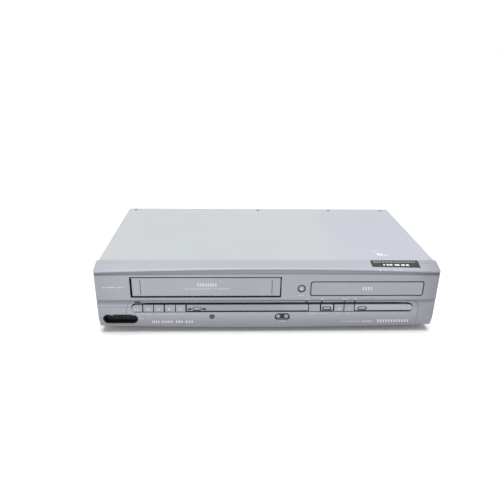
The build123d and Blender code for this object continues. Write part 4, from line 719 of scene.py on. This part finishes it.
def ringSurface(centres, values, y):
    # a closed band round each centre: a point is the centre plus a radius times the cosine and sine of an
    # angle, for the four corners of a plain square section
    turn = np.linspace(0, 2 * np.pi, values["around"], endpoint=False)
    section = np.array([(values["inner"], 0.0), (values["inner"], 1.0), (values["outer"], 1.0),
                        (values["outer"], 0.0)])
    radius, rise = section[:, 0], section[:, 1] * values["proud"]
    middles = np.array(centres, dtype=float)
    shape = (len(middles), len(turn), len(section))
    x = middles[:, 0, None, None] + radius * np.cos(turn)[:, None]
    z = middles[:, 1, None, None] + radius * np.sin(turn)[:, None]
    points = np.stack([x, np.broadcast_to(y + rise, shape), z], axis=-1).reshape(-1, 3)
    n, i, j = np.meshgrid(*[np.arange(size) for size in shape], indexing="ij")

    def at(turnStep, sectionStep):
        return (n * shape[1] + (i + turnStep) % shape[1]) * shape[2] + (j + sectionStep) % shape[2]

    faces = np.stack([at(0, 0), at(0, 1), at(1, 1), at(1, 0)], axis=-1).reshape(-1, 4)
    return points, faces


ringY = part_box("jack_block")[1][1] / mm + ringValues["off"]
for colour, (tone, centres) in ringColours.items():
    points, faces = ringSurface(centres, ringValues, ringY)
    ink = plainPlastic(colour + "Plastic", {"colour": tone, "edge": tone, "grainScale": 1500.0, "rough": 0.4,
                                            "grainDepth": 0.000008, "dust": 0.1})
    meshPiece("rearRings_" + colour, points, faces, ink, "casing")
print("print, sticker and rings made")


stageValues = {"half": 12.0, "seen": 1.4, "felt": 0.25, "worldFelt": 0.3, "shadowBeneath": (0.19, 0.07, 0.01),
               "shadowBeneathShare": 0.03}
keyLamp = {"strength": 2.0, "angle": 30.0, "back": -3.0, "side": -12.0}
cardLamp = {"power": 8.6, "wide": 1.2, "tall": 0.35, "place": (-0.35, -1.5, 0.2), "aim": (0.0, -0.1, 0.05)}
photoCamera = {"yaw": 2.425, "pitch": 22.827, "roll": -1.010, "sensor": 36.0, "lens": 35.45,
               "near": 0.01, "far": 100.0, "place": (-48.38, -675.22, 351.83)}  # place in mm


def seenShare(tree):  # 1 where the surface itself is seen: by the camera, in gloss or through glass
    rays = put(tree, "ShaderNodeLightPath").outputs
    mirrored = calc(tree, "ADD", rays["Is Glossy Ray"], rays["Is Transmission Ray"])
    return calc(tree, "ADD", rays["Is Camera Ray"], mirrored, clamp=True)


def makeFloor(values):  # a flat square, white where it is seen, greyer in the light that it returns, with a painted shadow where the case stands
    half = values["half"]
    mesh = bpy.data.meshes.new("floor")
    corners = [(-half, -half, 0), (half, -half, 0), (half, half, 0), (-half, half, 0)]
    mesh.from_pydata(corners, [], [(0, 1, 2, 3)])
    floor = bpy.data.objects.new("floor", mesh)
    bpy.context.scene.collection.objects.link(floor)
    made = bpy.data.materials.new("floorWhite")
    made.use_nodes = True
    tree = made.node_tree
    tree.nodes.clear()
    level = span(tree, seenShare(tree), 0.0, 1.0, values["felt"], values["seen"])
    point = put(tree, "ShaderNodeTexCoord").outputs["Object"]
    shadowBeneath = useGroup(tree, boxMask, point=point, half=values["shadowBeneath"])  # painted shadow where the case stands
    level = calc(tree, "MULTIPLY", level, span(tree, shadowBeneath["mask"], 0.0, 1.0, 1.0, values["shadowBeneathShare"]))
    grey = put(tree, "ShaderNodeCombineColor", {0: level, 1: level, 2: level}).outputs[0]
    diffuse = put(tree, "ShaderNodeBsdfDiffuse", {"Color": grey})
    out = put(tree, "ShaderNodeOutputMaterial")
    tree.links.new(diffuse.outputs[0], out.inputs[0])
    mesh.materials.append(made)


def makeWorld(values):  # white where it is seen, softer where it only lights
    world = bpy.data.worlds.new("studio")
    bpy.context.scene.world = world
    world.use_nodes = True
    tree = world.node_tree
    tree.nodes.clear()
    level = span(tree, seenShare(tree), 0.0, 1.0, values["worldFelt"], 1.0)
    back = put(tree, "ShaderNodeBackground", {"Color": (1.0, 1.0, 1.0, 1.0), "Strength": level})
    tree.links.new(back.outputs[0], put(tree, "ShaderNodeOutputWorld").inputs[0])


def makeLamp(name, values):
    # a wide soft sun overhead, tipped about X by back and then turned about Z by side, in degrees:
    # a negative back has it shine a little from behind
    lamp = bpy.data.lights.new(name, "SUN")
    lamp.energy = values["strength"]
    lamp.angle = math.radians(values["angle"])
    holder = bpy.data.objects.new(name, lamp)
    turn = Matrix.Rotation(math.radians(values["side"]), 4, "Z")
    holder.matrix_world = turn @ Matrix.Rotation(math.radians(values["back"]), 4, "X")
    bpy.context.scene.collection.objects.link(holder)


def makeCardLamp(name, values):  # a low bright card in front, turned to look at its aim
    lamp = bpy.data.lights.new(name, "AREA")
    lamp.shape = "RECTANGLE"
    lamp.energy, lamp.size, lamp.size_y = values["power"], values["wide"], values["tall"]
    holder = bpy.data.objects.new(name, lamp)
    place, aim = Vector(values["place"]), Vector(values["aim"])
    turn = (aim - place).to_track_quat("-Z", "Y").to_matrix().to_4x4()
    holder.matrix_world = Matrix.Translation(place) @ turn
    bpy.context.scene.collection.objects.link(holder)


def makeCamera(values):  # the photograph's lens and place, solved from the edges of the cover and the bezel
    yaw, pitch, roll = (math.radians(values[key]) for key in ("yaw", "pitch", "roll"))
    forward = np.array([math.sin(yaw) * math.cos(pitch), math.cos(yaw) * math.cos(pitch), -math.sin(pitch)])
    level = np.array([math.cos(yaw), -math.sin(yaw), 0.0])
    down = np.cross(forward, level)
    right = math.cos(roll) * level + math.sin(roll) * down
    under = -math.sin(roll) * level + math.cos(roll) * down
    lens = bpy.data.cameras.new("photoCamera")
    lens.sensor_width, lens.lens = values["sensor"], values["lens"]
    lens.clip_start, lens.clip_end = values["near"], values["far"]
    camera = bpy.data.objects.new("photoCamera", lens)
    bpy.context.scene.collection.objects.link(camera)
    place = np.eye(4)
    place[:3, 0], place[:3, 1], place[:3, 2] = right, -under, -forward
    place[:3, 3] = np.array(values["place"]) * mm
    camera.matrix_world = Matrix(place.tolist())
    bpy.context.scene.camera = camera


makeFloor(stageValues)
makeWorld(stageValues)
makeLamp("keyLamp", keyLamp)
makeCardLamp("cardLamp", cardLamp)
makeCamera(photoCamera)
bpy.context.scene.view_settings.view_transform = "Standard"
print("stage, lamps and camera made")
